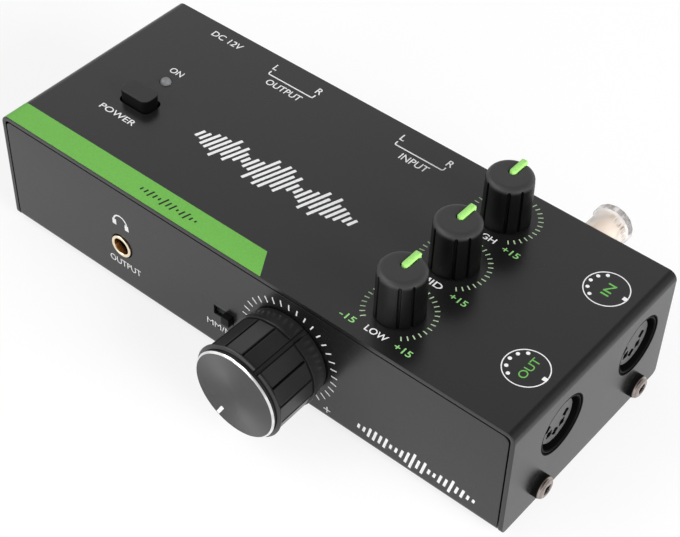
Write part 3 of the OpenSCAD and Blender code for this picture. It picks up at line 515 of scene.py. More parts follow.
# Turned body with flat facets: a facet's radius is its edge radius x cos(half pitch) / cos(offset).
# A narrow V groove runs along each edge, and the one opposite the mark is wide, with a line at each border.
def makeVolumeKnob():
    v = volume
    origin = onFace("front", "volume_knob")
    inner = [(v["shaftEnd"], 0), (v["shaftEnd"], v["shaftRadius"]), (v["nutDepth"], v["shaftRadius"]),
             (v["nutDepth"], v["nutSpace"]), (v["outline"][0][0], v["nutSpace"])]
    z, r = np.array(inner + v["outline"]).T
    flat, cut, outside = ((z > low) & (z < high) & (np.arange(len(z)) >= len(inner))
                          for low, high in (v["faceted"], v["grooved"], v["wideEnds"]))
    steps = np.array([0, 0.1, 0.2, 0.27, 0.29, 0.33, 0.42, 0.5, 0.53, 0.64, 0.68, 0.72, 0.85])
    steps /= v["edgeRadius"]
    pitch = 2 * np.pi / v["facets"]
    grooves = np.arange(v["facets"]) * pitch + math.radians(v["turn"]) + np.pi
    angles = np.concatenate([(grooves[:, None] + np.concatenate([-steps[1:], steps])).ravel(),
                             np.linspace(0, 2 * np.pi, 180, endpoint=False)]) % (2 * np.pi)
    angles = np.unique(np.round(angles, 5))
    offset = (angles[:, None] - grooves + np.pi) % (2 * np.pi) - np.pi
    nearest = np.abs(offset).argmin(1)
    offset = np.abs(offset).min(1)
    facet = math.cos(pitch / 2) / np.cos(pitch / 2 - offset)
    side = offset * v["edgeRadius"]
    wide = (nearest == 0) & (side <= v["wideHalf"] + 1e-3)
    narrow = np.interp(side, [0, v["grooveHalf"], v["grooveHalf"] + 0.06], [1, 0.12, 0])
    floor = np.where(side < v["lineFrom"] + 0.01, v["wideFloor"], v["lineFloor"])
    radius = r * (1 + flat * (facet[:, None] - 1))
    deep = narrow[:, None] * cut * (radius - v["grooveFloor"])
    radius = radius - np.where(nearest[:, None] == 0, 0, deep)
    radius = np.where(wide[:, None] & outside, np.minimum(radius, floor[:, None]), radius)
    grid = np.stack([radius * np.cos(angles)[:, None], radius * np.sin(angles)[:, None],
                     np.broadcast_to(z, radius.shape)], -1)
    addGrid("volume_knob_body", grid, (True, False), "front", origin, "volumeBlack", "volume_control",
            "knob_black", ["volume_knob"], 24)
    return origin


cap = {"chamfer": (0.42, 0.45), "sunk": 0.02, "pitch": 0.19, "highlightTurn": 2.2}  # pitch of the turned rings


# Thin metal cap: a disc with fine turned rings inside a bright cut chamfer; the disc's colour holds a painted
# highlight.
def makeVolumeCap(origin):
    _, rim, back, front = seat("front", "volume_knob_cap")
    disc, edge, face = rim - cap["chamfer"][0], front - cap["chamfer"][1], front - cap["sunk"]
    profile = soften([(0, back), (rim, back), (rim, edge), (disc, front), (disc - 0.06, face), (0, face)],
                     [0, 0.06, 0.04, 0.03, 0.02, 0])
    made = Finish("volume_cap_metal", metallic=1.0)
    radius = made.offAxis(origin)
    bright = radius.above(disc - 0.04)
    uneven = made.add("ShaderNodeTexNoise", {"noise_dimensions": "1D"},
                      {"W": radius, "Scale": 5.0, "Detail": 4.0, "Roughness": 0.7})
    # Painted highlight: the disc is lighter in two opposite fans through its centre and darker towards the
    # middle, under a little noise along the radius.
    sweep = made.along(2, origin[2]).maths("ARCTAN2", made.along(0, origin[0]))
    paintedFanHighlight = ((sweep - cap["highlightTurn"]) * 2).maths("COSINE") * 0.5 + 0.5
    dark = made.blend(paintedFanHighlight * paintedFanHighlight * radius.ramp(0.5, 7.0) * 0.8 + uneven * 0.2, (0.052, 0.052, 0.053),
                      (0.130, 0.130, 0.132))
    shown = made.along(1, origin[1] - front).below(0.43)
    side = made.blend(shown, 0.02, made.blend(made.noise(5.0).ramp(0.35, 0.65), 0.7, (0.95, 0.95, 0.94)))
    made.set("colour", made.blend(bright, dark, side))
    made.set("roughness", 0.30 - bright * 0.18)
    rings = (radius * (2 * math.pi / cap["pitch"])).maths("SINE") * 0.5 + uneven * 0.3
    made.bump(rings * (1 - bright), 0.02)
    addTurned("volume_knob_disc", refine(profile, 0.8), "front", origin, made.material, "volume_control",
              "cap_metal", ["volume_knob_cap"], angles=192, sharp=20)
    return disc, front


def makeVolumeMark(origin, disc, front):
    mark = {"from": disc - 3.75, "to": disc - 0.22, "width": 0.9, "corner": 0.08, "proud": 0.03}
    grid = lofted(mark["to"] - mark["from"], mark["width"], mark["corner"],
                  [(0, -0.25), (0, mark["proud"] - 0.02), (0.03, mark["proud"])])
    grid += ((mark["to"] + mark["from"]) / 2, 0, front - 0.02)
    addGrid("volume_index_mark", spun(grid, math.radians(volume["turn"])), (False, True), "front", origin,
            "markWhite", "volume_control", "mark_white", ["volume_pointer"])


volumeOrigin = makeVolumeKnob()
makeVolumeMark(volumeOrigin, *makeVolumeCap(volumeOrigin))
print("volume knob done")


# Tone knobs
tone = {"shoulder": 12.5, "brow": (5.62, 13.2), "crest": (5.0, 13.75), "top": 13.9, "crown": 0.03,
        "topRadius": 4.4, "taper": 0.2, "shaftRadius": 3.05, "shaftEnd": 11, "grooveEnd": 13.05,
        "grooveWidth": 0.75, "grooveDepth": 0.7, "grooveTurn": 3.5, "pairs": (-15.5, 15.5),
        "pointer": {"from": 0.1, "to": 5.72, "width": 1.65, "top": 14.5, "foot": 13.0, "bevel": 0.3,
                    "gap": 0.35, "corners": (0.3, 0.75, 0.75, 0.3)}}


# Body of one tone knob about its own axis: four pairs of grooves that run out in the rounded shoulder.
def makeToneKnob():
    _, base, gap, _ = seat("top", "low_knob")
    t, hole = tone, tone["shaftRadius"]
    profile = soften([(0, t["shaftEnd"]), (hole, t["shaftEnd"]), (hole, gap), (base, gap),
                      (base - t["taper"], t["shoulder"]), t["brow"], t["crest"], (t["topRadius"], t["top"]),
                      (0, t["top"] + t["crown"])], [0, 0, 0.1, 0.15, 0.5, 0.45, 0.4, 0.4, 0], 7)
    turn = 90 + t["grooveTurn"]
    centres = np.radians([turn + side + pair for side in (45, 135, 225, 315) for pair in t["pairs"]])
    half = t["grooveWidth"] / 2 / base
    offsets = np.array([0, 0.35, 0.6, 0.8, 0.92, 1.0, 1.12, 1.35])
    near = np.concatenate([offsets, -offsets]) * half
    angles = np.unique(np.round(np.concatenate([(centres[:, None] + near).ravel() % (2 * np.pi),
                                                np.linspace(0, 2 * np.pi, 120, endpoint=False)]), 5))

    def ribs(theta, radius, height):
        offset = np.abs((theta[..., None] - centres + np.pi) % (2 * np.pi) - np.pi).min(-1) / half
        depth = np.interp(offset, [0, 0.6, 0.92, 1.0, 1.12, 1.35], [1, 0.93, 0.7, 0.3, 0.06, 0])
        ends = t["grooveEnd"] - 0.3 * np.clip(offset, 0, 1) ** 2
        return radius - depth * t["grooveDepth"] * np.clip((ends - height) / 0.35, 0, 1) * (radius > 4.5)

    grid = turned(refine(profile, 0.9), angles, ribs)
    return grid.reshape(-1, 3), gridFaces(*grid.shape[:2], True)


# Bar that points along +Y, with round inner corners and bevelled edges; gap makes the slot it lies in.
def pointerBar(gap=0.0):
    bar = tone["pointer"]
    length, width = bar["to"] - bar["from"] + 2 * gap, bar["width"] + 2 * gap
    b = bar["bevel"]
    levels = [(0, bar["foot"]), (0, bar["top"] - b), (b * 0.3, bar["top"] - b * 0.3), (b, bar["top"])]
    if gap:
        levels = [(0, bar["foot"] + 0.1), (0, bar["top"] + 1)]
        length += 1
    grid = lofted(length, width, np.array(bar["corners"]) + gap, levels)
    grid[..., 0] += bar["from"] - gap + length / 2
    points = np.stack([-grid[..., 1], grid[..., 0], grid[..., 2]], -1)
    return points.reshape(-1, 3), gridFaces(*grid.shape[:2], False, True)


# The first mesh less the second, by one boolean that is applied at once.
def cutSlot(*solids):
    made = []
    for verts, faces in solids:
        mesh = bpy.data.meshes.new("blank")
        mesh.from_pydata(verts.tolist(), [], faces.tolist())
        weld(mesh, 1e-4)
        made.append(linked("blank", mesh))
    cut = made[0].modifiers.new("slot", "BOOLEAN")
    cut.object, cut.operation, cut.solver = made[1], "DIFFERENCE", "EXACT"
    result = baked(made[0])
    bpy.data.objects.remove(made[1])
    return result


# Black plastic with painted light: paler towards the top, where light falls, and darker down the sides, with
# a little noise in the top.
def toneColour(made):
    paintedLitTop = made.along(2, caseHigh[2]).ramp(12.2, 13.3) * (made.noise(0.4, 3.0) * 0.2 + 0.8)
    return made.blend(paintedLitTop, (0.0012, 0.0012, 0.0013), (0.031, 0.031, 0.0315))


def makeToneKnobs():
    black = moulding("tone_knob_plastic", toneColour, 0.47, specular=0.4)
    verts, faces = cutSlot(makeToneKnob(), pointerBar(tone["pointer"]["gap"]))
    barVerts, barFaces = pointerBar()
    for band in ("low", "mid", "high"):
        origin = onFace("top", band + "_knob")
        body = band + "_control"
        addPiece(band + "_knob_body", toWorld(verts, "top", origin), faces, black, body, "knob_black",
                 [band + "_knob"], 38)
        addPiece(band + "_pointer_bar", toWorld(barVerts, "top", origin), barFaces, "pointerGreen", body,
                 "pointer_green", [band + "_pointer"], 25)


makeToneKnobs()
print("tone knobs done")


# Power button and lamp
button = {"corner": 2.0, "edge": 0.3, "crown": 0.05}


# Stack of rounded rectangles whose upper edge is a quarter circle, under a faint crown.
def makeButton():
    low, high = corners("power_button")
    origin, _, bottom, top = seat("top", "power_button")
    edge, crown = button["edge"], button["crown"]
    levels = [(0.3, bottom), (0, bottom + 0.3)]
    levels += [(0, h) for h in np.linspace(bottom + 1, top - edge, 8)]
    levels += [(edge * (1 - math.cos(a)), top - edge * (1 - math.sin(a)) - crown)
               for a in np.linspace(0, np.pi / 2, 7)[1:]]
    levels += [(edge + 0.9, top - 0.01), (edge + 2.2, top)]

    # Painted light: the button's top is painted paler and its sides darker.
    def colour(made):
        paintedLitTop = made.along(2, high[2]).ramp(-edge - 0.1, -crown)
        return made.blend(paintedLitTop, 0.002, (0.036, 0.036, 0.0365))

    grid = lofted(*(high - low)[:2], button["corner"], levels)
    addGrid("power_button_cap", grid, (False, True), "top", origin,
            moulding("button_plastic", colour, 0.5, specular=0.15), "power_push", "black_moulding",
            ["power_button"], 40)


lamp = {"dome": 1.5, "flange": 1.9, "flangeHeight": 1}


# Milky dome on a short body with a flange, turned about its axis.
def makeLamp():
    origin, _, bottom, top = seat("top", "power_led")
    dome, flange, ledge = lamp["dome"], lamp["flange"], bottom + lamp["flangeHeight"]
    arc = np.linspace(0, np.pi / 2, 12)
    cap = np.column_stack([dome * np.cos(arc), top - dome + dome * np.sin(arc)])
    foot = soften([(0, bottom), (flange, bottom), (flange, ledge), (dome, ledge)], 0.1)
    made = Finish("lamp_epoxy", specular=0.5, coat=0.3, clear=0.15)
    made.speckle((0.19, 0.195, 0.20), 1.0, 0.05)
    addTurned("power_lamp_lens", np.vstack([foot, cap]), "top", origin, made.surface(0.5, 0.1, 0.42), "case",
              "lamp_lens", ["power_led"], angles=48)


makeButton()
makeLamp()
print("power button and lamp done")


# Headphone jack
jack = {"bore": 1.8, "mouth": 2.5, "throat": 2.36, "funnel": 3.2}


# Gold bush: a rounded flange, a funnel and a bore, with painted shade that turns the gold dark brown inside
# the bore.
def makeJackRing():
    origin, outer, back, front = seat("front", "headphone_jack_bush")
    bore, mouth, funnel = jack["bore"], jack["mouth"], front - jack["funnel"]
    profile = soften([(bore, back), (outer, back), (outer, front), (mouth, front),
                      (jack["throat"], front - 0.2), (bore + 0.05, funnel), (bore, funnel - 0.2),
                      (bore, back)], [0, 0, 0.3, 0.12, 0.15, 0.05, 0, 0])
    made = Finish("jack_gold", metallic=1.0)
    # Painted shade: dark brown inside the bore.
    inside = made.along(1, origin[1] - front).ramp(0.05, 0.45) * made.offAxis(origin).below(mouth - 0.05)
    made.set("colour", made.blend(inside, (0.93, 0.80, 0.60), (0.42, 0.26, 0.12)))
    addTurned("headphone_jack_ring", profile[:-1], "front", origin, made.surface(0.3, 0.1, 0.2, 0.6, 0.002),
              "case", "gold_plate", ["headphone_jack_bush"], angles=64, ring=True)


makeJackRing()
print("headphone jack done")


# Screws
screw = {"radius": 3.0, "height": 2.5, "flat": 1.9, "side": 1.1, "cross": 0.85, "reach": 1.3, "deep": 1.5,
         # end, side, turn
         "places": (("right", -1, 0.5), ("right", 1, 1.1), ("left", -1, 0.2), ("left", 1, 0.9))}


# Pan head as a height over a disc: flat in the middle, a shoulder with a fine turned step and straight sides,
# less a tapered cross-shaped hollow. Returns the points and how much painted shade each gets, from 0 to 1:
# the hollow and the sides get the most, and the turned step gets a dark line.
def screwHead():
    radius, flat, side, reach = (screw[k] for k in ("radius", "flat", "side", "reach"))
    shoulder = flat + (radius - flat) * np.sin(np.linspace(0.08, 1, 16) * np.pi / 2)
    rings = np.concatenate([[0], np.linspace(0.08, flat, 20), shoulder])
    angles = np.linspace(0, 2 * np.pi, 96, endpoint=False)
    theta, r = np.meshgrid(angles, rings, indexing="ij")
    x, y = r * np.cos(theta), r * np.sin(theta)
    across = np.clip((r - flat) / (radius - flat), 0, 1)
    step = np.clip(1 - np.abs(across - 0.55) / 0.14, 0, 1)
    dome = side + (screw["height"] - side) * np.sqrt(np.clip(1 - across ** 2, 0, 1)) - 0.16 * step
    dome -= 0.04 * (r / flat).clip(0, 1) ** 2
    arm = np.clip((1.12 - np.minimum(np.abs(x), np.abs(y)) / (screw["cross"] / 2)) / 0.3, 0, 1)
    hollow = arm * np.clip((1.1 - np.maximum(np.abs(x), np.abs(y)) / reach) / 0.18, 0, 1)
    inside = np.maximum(hollow * 0.8, np.clip((1.1 - r / (0.9 * reach)) / 0.2, 0, 1))
    grid = np.stack([x, y, dome - inside * screw["deep"]], -1)
    rim = np.stack([np.cos(angles) * radius, np.sin(angles) * radius, angles * 0], -1)[:, None]
    # Painted shade: black in the hollow and down the sides, and a dark line along the turned step.
    dark = np.maximum(np.clip(inside * 10, 0, 1), np.clip((across - 0.9) / 0.06, 0, 1))
    dark = np.maximum(dark, 0.6 * step)
    return np.concatenate([grid, rim, rim * 0], 1), np.pad(dark, ((0, 0), (0, 2)), constant_values=0.98)


def makeScrews():
    low, high = corners("cover_screws")
    centre, spread = (low + high) / 2, (high[1] - low[1]) / 2 - screw["radius"]
    head, dark = screwHead()
    shank = turned(soften([(0, -5.4), (1.1, -5.4), (1.5, -4.9), (1.5, 0.1), (0, 0.1)], 0.05), 32)
    grids = []
    for end, side, spin in screw["places"]:
        place = (onFace(end, "top_cover")[0], centre[1] + side * spread, centre[2])
        grids += [toWorld(spun(part, spin), end, place) for part in (head, shank)]
    values = np.concatenate([dark.ravel(), np.zeros(shank.size // 3)] * len(screw["places"]))
    addPiece("cover_screw_heads", *joined(grids), "screwMetal", "case", "screw_steel", ["cover_screws"], 40,
             values)


makeScrews()
print("screws done")


# Feet
foot = {"radius": 4.0, "edge": 0.35, "dish": 0.05}


def makeFeet():
    low, high = corners("rubber_feet")
    radius, height = foot["radius"], high[2] - low[2]
    grid = turned(soften([(0, 0), (radius, 0), (radius, height - 0.3), (radius - foot["edge"], height),
                          (0, height - foot["dish"])], [0, 0.02, 0.2, 0.25, 0]), 64)
    xs, ys = ((low[i] + radius, high[i] - radius) for i in (0, 1))
    addPiece("rubber_foot_pads", *joined([toWorld(grid, "bottom", (x, y, high[2])) for x in xs for y in ys]),
             "rubber", "case", "foot_rubber", ["rubber_feet"])


makeFeet()
print("feet done")


# Sockets and jacks
collar = (  # part, inner and outer radius, back, front, rounding, finish
    ("_collar", 7.72, 7.97, -1.2, -0.03, 0, "socketBlack"),
    ("_ridge", 7.2, 7.42, -0.45, -0.2, 0.1, "leverBlack"))


# Black collar in a socket's panel hole, with a thin raised ring on the socket's nose.
def makeCollar(name):
    origin = onFace("right", name + "_housing")
    origin[2] = middle(name + "_insulator")[2]
    for part, inner, outer, back, front, rounding, finish in collar:
        profile = soften([(inner, back), (outer, back), (outer, front), (inner, front), (inner, back)],
                         [0, 0, rounding, rounding, 0])
        addTurned(name + part, profile[:-1], "right", origin, finish, "case", "black_moulding", ring=True)


for name in ("din_out", "din_in"):
    softCopy(name + "_housing", "socketBlack", 0.08)
    softCopy(name + "_insulator", "greyInsulator", 0.08)
for name in ("din_out", "din_in"):
    makeCollar(name)
softCopy("mode_switch_lever", "leverBlack", 0.15, "mode_slider")

phono = {"wall": 0.6, "neck": 0.25, "lip": 0.6, "hole": 1.65, "funnel": 0.45, "depth": 9, "gap": 0.05}


# Turned shell with a rolled lip, and the coloured insulator with its funnel inside.
def makePhonoJack(name, finish, slot):
    p = phono
    shell, insert = name + "_shell", name + "_insulator"
    origin, outer, back, front = seat("rear", shell)
    inner, neck = outer - p["wall"], outer - p["neck"]
    profile = soften([(inner, back), (neck, back), (neck, p["lip"]), (outer, p["lip"]), (outer, front),
                      (inner, front), (inner, back)], [0, 0.05, 0.02, 0.05, 0.25, 0.2, 0])
    addTurned(shell + "_turned", refine(profile, 1.5)[:-1], "rear", origin, "nickel", "case", "jack_nickel",
              [shell], ring=True)
    face, hole, edge = seat("rear", insert)[3], p["hole"], inner - p["gap"]
    profile = soften([(0, face - p["depth"]), (hole, face - p["depth"]), (hole, face - 0.5),
                      (hole + p["funnel"], face), (edge, face), (edge, back), (0, back)],
                     [0, 0, 0.1, 0.1, 0.12, 0.05, 0])
    addTurned(insert + "_moulded", refine(profile, 1.5), "rear", origin, finish, "case", slot, [insert],
              angles=72)


for group in ("output", "input"):
    makePhonoJack(group + "_left", "whiteInsulator", "insulator_white")
    makePhonoJack(group + "_right", "redInsulator", "insulator_red")
    softCopy(group + "_jack_block", "blackPlastic", 0.15)
softCopy("power_inlet", "blackPlastic", 0.15)
print("sockets and jacks done")


# Ground post
post = {"flutes": 14, "fluteDepth": 0.1, "rimLength": 2.5, "rimRadius": 5.45, "barrelRadius": 4.75,
        "bore": 3.02, "reach": 1.6, "knurls": 28, "knurlDepth": 0.12, "insertRadii": (2.05, 2.95)}


# Clear thumb nut: a plain barrel, then a lightly scalloped rim, with a blind bore for its insert.
def makeGroundNut():
    origin, _, back, front = seat("rear", "ground_nut")
    front += post["reach"]
    rim, barrel, bore = post["rimRadius"], post["barrelRadius"], post["bore"]
    shoulder = front - post["rimLength"]
    profile = soften([(0, front - 0.6), (bore, front - 0.6), (bore, back), (barrel - 0.2, back),
                      (barrel, shoulder - 0.5), (rim, shoulder + 0.2), (rim, front - 0.5), (0, front - 0.4)],
                     [0, 0.1, 0.05, 0.3, 0.5, 0.6, 1.1, 0], 8)

    def scallops(theta, radius, height):
        wave = 0.5 + 0.5 * np.cos(post["flutes"] * theta)
        return radius - post["fluteDepth"] * wave * np.clip((radius - barrel) / (rim - barrel), 0, 1)

    made = Finish("clear_acrylic", clear=0.65, ior=1.16, specular=0.5)
    radius = made.offAxis(origin)
    # Painted reflection: a streaked grey band on the outside of the rim, for the grey that the clear rim's
    # edges show.
    streaks = made.noise(1.6, 1.0, (1, 0.15, 1)).ramp(0.42, 0.58)
    band = made.blend(streaks, (0.34, 0.34, 0.35), (0.80, 0.80, 0.81))
    milk = made.blend(radius.ramp(4.7, 4.95), (0.93, 0.87, 0.81), (0.98, 0.975, 0.97))
    # Painted shade and refraction: dark brown streaks inside the rim, stronger towards the outer end and the
    # +X side, for the insert seen through the nut.
    paintedInsertRefraction = made.noise(0.9, 2.0, (1.6, 0.3, 1.6)).ramp(0.44, 0.6) * (1 - radius.ramp(4.7, 4.9))
    paintedInsertRefraction = paintedInsertRefraction * made.along(1, origin[1] + front).ramp(-5.4, -4.2) * made.along(0, origin[0]).ramp(-1, 2.5)
    milk = made.blend(paintedInsertRefraction, milk, (0.42, 0.35, 0.30))
    made.set("colour", made.blend(radius.ramp(rim - 0.32, rim - 0.22), milk, band))
    addTurned("ground_thumb_nut", refine(profile, 0.7), "rear", origin, made.surface(1.0, 0.06, 0.08),
              "thumb_nut", "clear_acrylic", ["ground_nut"], angles=144, reach=scallops, sharp=50)


# Pale ribbed insert inside the clear nut, with painted shade at its outer end: dark brown streaks for how it
# looks through the nut.
def makeNutInsert():
    origin, _, back, front = seat("rear", "ground_nut_insert")
    inner, outer = post["insertRadii"]
    profile = soften([(0, front - 1.0), (inner, front - 1.0), (inner, back), (outer, back), (outer, front),
                      (0, front)], [0, 0, 0.05, 0.15, 0.2, 0])

    def knurl(theta, radius, height):
        return radius - post["knurlDepth"] * (0.5 + 0.5 * np.cos(post["knurls"] * theta)) * (radius > 2.5)

    made = Finish("nut_core_plastic", specular=0.5)
    # Painted shade: dark brown streaks towards the outer end.
    streaks = made.noise(0.9, 2.0, (1, 0.2, 1)).ramp(0.4, 0.6)
    brown = made.blend(streaks, (0.12, 0.09, 0.07), (0.60, 0.50, 0.42))
    end = made.along(1, origin[1] + front).ramp(-2.6, -1.6)
    made.set("colour", made.blend(end, (0.88, 0.76, 0.65), brown))
    addTurned("ground_nut_core", refine(profile, 0.9), "rear", origin, made.surface(1.0, 0.1, 0.35),
              "thumb_nut", "gold_plate", ["ground_nut_insert"], angles=168, reach=knurl, sharp=50)


makeGroundNut()
makeNutInsert()
softCopy("ground_post_stud", "gold", 0.12)
softCopy("ground_post_washer", "gold", 0.12, "post_washer")
print("ground post done")


# Printing
# Faces of an open tube of four-sided rings, with both ends closed.
def tubeFaces(count):
    last = 4 * (count - 1)
    return [*gridFaces(count, 4, False, True).tolist(), [0, 1, 2, 3], [last + 3, last + 2, last + 1, last]]


# Points on a circle at angles in degrees, or one point.
def onCircle(centre, radius, degrees):
    a = np.radians(degrees)
    return np.stack([centre[0] + radius * np.cos(a), centre[1] + radius * np.sin(a)], -1)


# Thin ink shapes of one colour on one face, collected and made one mesh.
class Print:
    def __init__(self, face, thickness=0.03):
        self.face, self.thickness = face, thickness
        self.verts, self.faces, self.count = [], [], 0

    def take(self, verts, faces):
        self.verts.append(verts)
        self.faces.extend([[int(i) + self.count for i in f] for f in faces])
        self.count += len(verts)

    # Upright prism of the ink's thickness on an outline that runs anticlockwise.
    def prism(self, outline):
        n = len(outline)
        verts = np.vstack([np.column_stack([outline, np.full(n, z)]) for z in (inkFoot, self.thickness)])
        ring = [[i, (i + 1) % n, n + (i + 1) % n, n + i] for i in range(n)]
        self.take(verts, ring + [list(range(n, 2 * n)), list(range(n - 1, -1, -1))])

    def rectangle(self, left, right, bottom, top):
        self.prism([(left, bottom), (right, bottom), (right, top), (left, top)])

    # Ribbon of even width along a line; its sides are offset by half the width.
    def stroke(self, points, width):
        points = np.asarray(points, float)
        along = np.vstack([points[1:], points[-1]]) - np.vstack([points[0], points[:-1]])
        along /= np.hypot(*along.T)[:, None]
        side = np.column_stack([-along[:, 1], along[:, 0]]) * width / 2
        top = self.thickness
        rings = np.stack([np.column_stack([points + s * side, np.full(len(points), z)])
                          for s, z in ((1, top), (-1, top), (-1, inkFoot), (1, inkFoot))], 1)
        self.take(rings.reshape(-1, 3), tubeFaces(len(points)))

    def arc(self, centre, radius, width, start, end, steps):
        self.stroke(onCircle(centre, radius, np.linspace(start, end, steps)), width)

    def dot(self, centre, radius):
        self.prism(onCircle(centre, radius, np.linspace(0, 360, 20, endpoint=False)))

    def ticks(self, centre, outer, length, width, start, end, step):
        for degrees in np.arange(start, end + step / 2, step):
            self.stroke([onCircle(centre, reach, degrees) for reach in (outer, outer - length)], width)

    # Words fitted to a box; quarter turns them to read upwards.
    def text(self, words, left, right, bottom, top, weight=0.004, quarter=False):
        curve = bpy.data.curves.new("words", "FONT")
        curve.body, curve.extrude, curve.offset, curve.resolution_u = words, 0.02, weight, 5
        points, faces = baked(linked("words", curve))
        if quarter:
            points = spun(points, np.pi / 2)
        unit = (points - points.min(0)) / np.ptp(points, 0)
        size = (right - left, top - bottom, self.thickness - inkFoot)
        self.take((left, bottom, inkFoot) + unit * size, faces)

    def make(self, name, finish, slot):
        verts = toWorld(np.vstack(self.verts), self.face, printPlaces[self.face])
        addPiece(name, verts, self.faces, finish, "case", slot, sharp=40)


inkFoot = 0.002  # gap between paint and ink, so that the two don't flicker
printPlaces = {"top": (0, caseMid[1], caseHigh[2]), "front": (0, caseLow[1], caseLow[2])}
toneDial = {"outer": 9.0, "length": 1.25, "width": 0.28, "start": -50, "end": 230, "step": 10}
volumeDial = {"outer": 14.6, "length": 1.8, "width": 0.36, "start": -60, "end": 240, "step": 10}
bars = {"title": {"left": -37.5, "right": 13.0, "level": -4.4, "tallest": 13.0, "count": 30, "width": 0.85,
                  "lean": 0.32},
        "stripe": {"left": -34.0, "right": -15.0, "level": -28.2, "tallest": 3.4, "count": 13, "width": 0.5,
                   "lean": 0.25},
        "front": {"left": 37.0, "right": 71.5, "level": 5.2, "tallest": 6.4, "count": 22, "width": 0.7,
                  "lean": 0.25}}
socketMark = {"x": 69.25, "ys": (16.9, -14.5), "radius": 5.4, "width": 0.26, "opening": 7.0, "pins": 4.35,
              "pinRadius": 0.48, "pinAngles": (120, 150, 180, 210, 240), "key": (73.6, 74.8, 0.55)}
topLabels = (  # words, left, right, bottom, top
    ("ON", -59.73, -55.63, 8.06, 10.06), ("POWER", -63.0, -51.2, -13.7, -11.8),
    ("DC 12V", -62.1, -52.0, 26.5, 28.6), ("L", -40.3, -39.0, 26.4, 28.6), ("R", -25.8, -24.1, 26.3, 28.5),
    ("OUTPUT", -38.0, -26.6, 20.8, 22.9), ("L", 1.7, 3.0, 26.3, 28.5), ("R", 16.2, 17.9, 26.2, 28.4),
    ("INPUT", 5.8, 14.2, 20.7, 22.9))
bandLabels = (  # band, sideways shift, half width, distance of its foot below the knob's axis
    ("low", 0.25, 2.98, 9.55), ("mid", -0.15, 2.9, 9.1), ("high", -0.25, 3.3, 9.1))


# Line under two connectors with short rounded ends that point at them.
def bracket(ink, left, right, low, high):
    turn = 0.5
    curve = onCircle((0, low + turn), turn, np.linspace(180, 270, 6))
    rightCurve = (curve * (-1, 1) + (right - turn, 0))[::-1]
    ink.stroke(np.vstack([(left, high), curve + (left + turn, 0), rightCurve, (right, high)]), 0.35)


# Row of leaning bars whose heights rise and fall in two swells.
def waveBars(ink, left, right, level, tallest, count, width, lean):
    for i in range(count):
        t = (i + 0.5) / count
        swell = abs(math.sin(3.1 * math.pi * t)) * (0.35 + 0.65 * math.sin(math.pi * t))
        half = tallest / 2 * (0.16 + 0.84 * swell * (0.72 + 0.28 * math.cos(2.6 * i)))
        x = left + t * (right - left)
        ink.stroke([(x - lean * half, level - half), (x + lean * half, level + half)], width)


def printTop():
    white, pale, green, deep = (Print("top") for _ in range(4))
    for label in topLabels:
        white.text(*label)
    bracket(white, -39.7, -24.8, 24.25, 25.6)
    bracket(white, 2.05, 16.95, 24.2, 25.5)
    waveBars(white, **bars["title"])
    m = socketMark
    for band, shift, half, foot in bandLabels:
        x, y = onFace("top", band + "_knob")[:2] - (0, caseMid[1])
        white.text(band.upper(), x + shift - half, x + shift + half, y - foot, y - foot + 1.8, 0.008)
        pale.ticks((x, y), **toneDial)
        green.text("-15", x - 9.8, x - 5.6, y - 9.78, y - 8.02, 0.01)
        green.text("+15", x + 5.55, x + 10.15, y - 9.7, y - 7.9, 0.01)
    left, right, half = m["key"]
    for y in m["ys"]:
        centre = (m["x"], y)
        white.arc(centre, m["radius"], m["width"], m["opening"], 360 - m["opening"], 72)
        for degrees in m["pinAngles"]:
            white.dot(onCircle(centre, m["pins"], degrees), m["pinRadius"])
        white.rectangle(left, right, y - half, y + half)
    deep.text("IN", 68.7, 70.8, 14.9, 18.9, quarter=True)
    deep.text("OUT", 68.7, 70.8, -17.5, -10.8, quarter=True)
    white.make("top_white_print", "whiteInk", "mark_white")
    deep.make("socket_name_print", "deepInk", "pointer_green")
    pale.make("tone_dial_ticks", "paleInk", "pointer_green")
    green.make("top_green_print", "labelInk", "pointer_green")


stripe = {"inner": -24.55, "outer": 0.18, "innerEnd": 3.5, "outerEnd": 7.6, "bend": 2.4, "thickness": 0.025}


# Green band along the front edge: a strip that follows the bend at the left and ends on a slant.
def printStripe():
    s = stripe
    bend, start = s["bend"], caseLow[0] + s["bend"]
    outer = caseLow[1] - caseMid[1] + s["outer"]
    lines = []
    for y, end, lift in ((s["inner"], s["innerEnd"], s["thickness"]), (outer, s["outerEnd"], s["thickness"]),
                         (outer, s["outerEnd"], inkFoot), (s["inner"], s["innerEnd"], inkFoot)):
        t = np.concatenate([np.linspace(-bend * np.pi / 2, 0, 12), np.linspace(0, end - start, 4)[1:]])
        a = np.clip(-t, 0, None) / bend
        x = np.where(t < 0, start - (bend + lift) * np.sin(a), start + t)
        z = np.where(t < 0, (bend + lift) * np.cos(a) - bend, lift)
        lines.append(np.column_stack([x, np.full(len(t), y), z]))
    rings = toWorld(np.stack(lines, 1), "top", printPlaces["top"])
    addPiece("green_stripe", rings, tubeFaces(len(rings)), "greenInk", "case", "pointer_green", sharp=40)
    black = Print("top", 0.04)
    waveBars(black, **bars["stripe"])
    black.make("stripe_black_print", "blackInk", "case_paint")


frontLabels = (("OUTPUT", -43.1, -32.4, 6.95, 9.0), ("MM/MC", -9.9, 0.5, 6.8, 8.7))
frontMarks = {"sign": (11.8, 3.4, 1, 0.17),  # distance from the dial's axis, height, half length and width
              "phones": (-38.2, 22.0), "band": 2.2, "cup": (2.1, 0.62)}


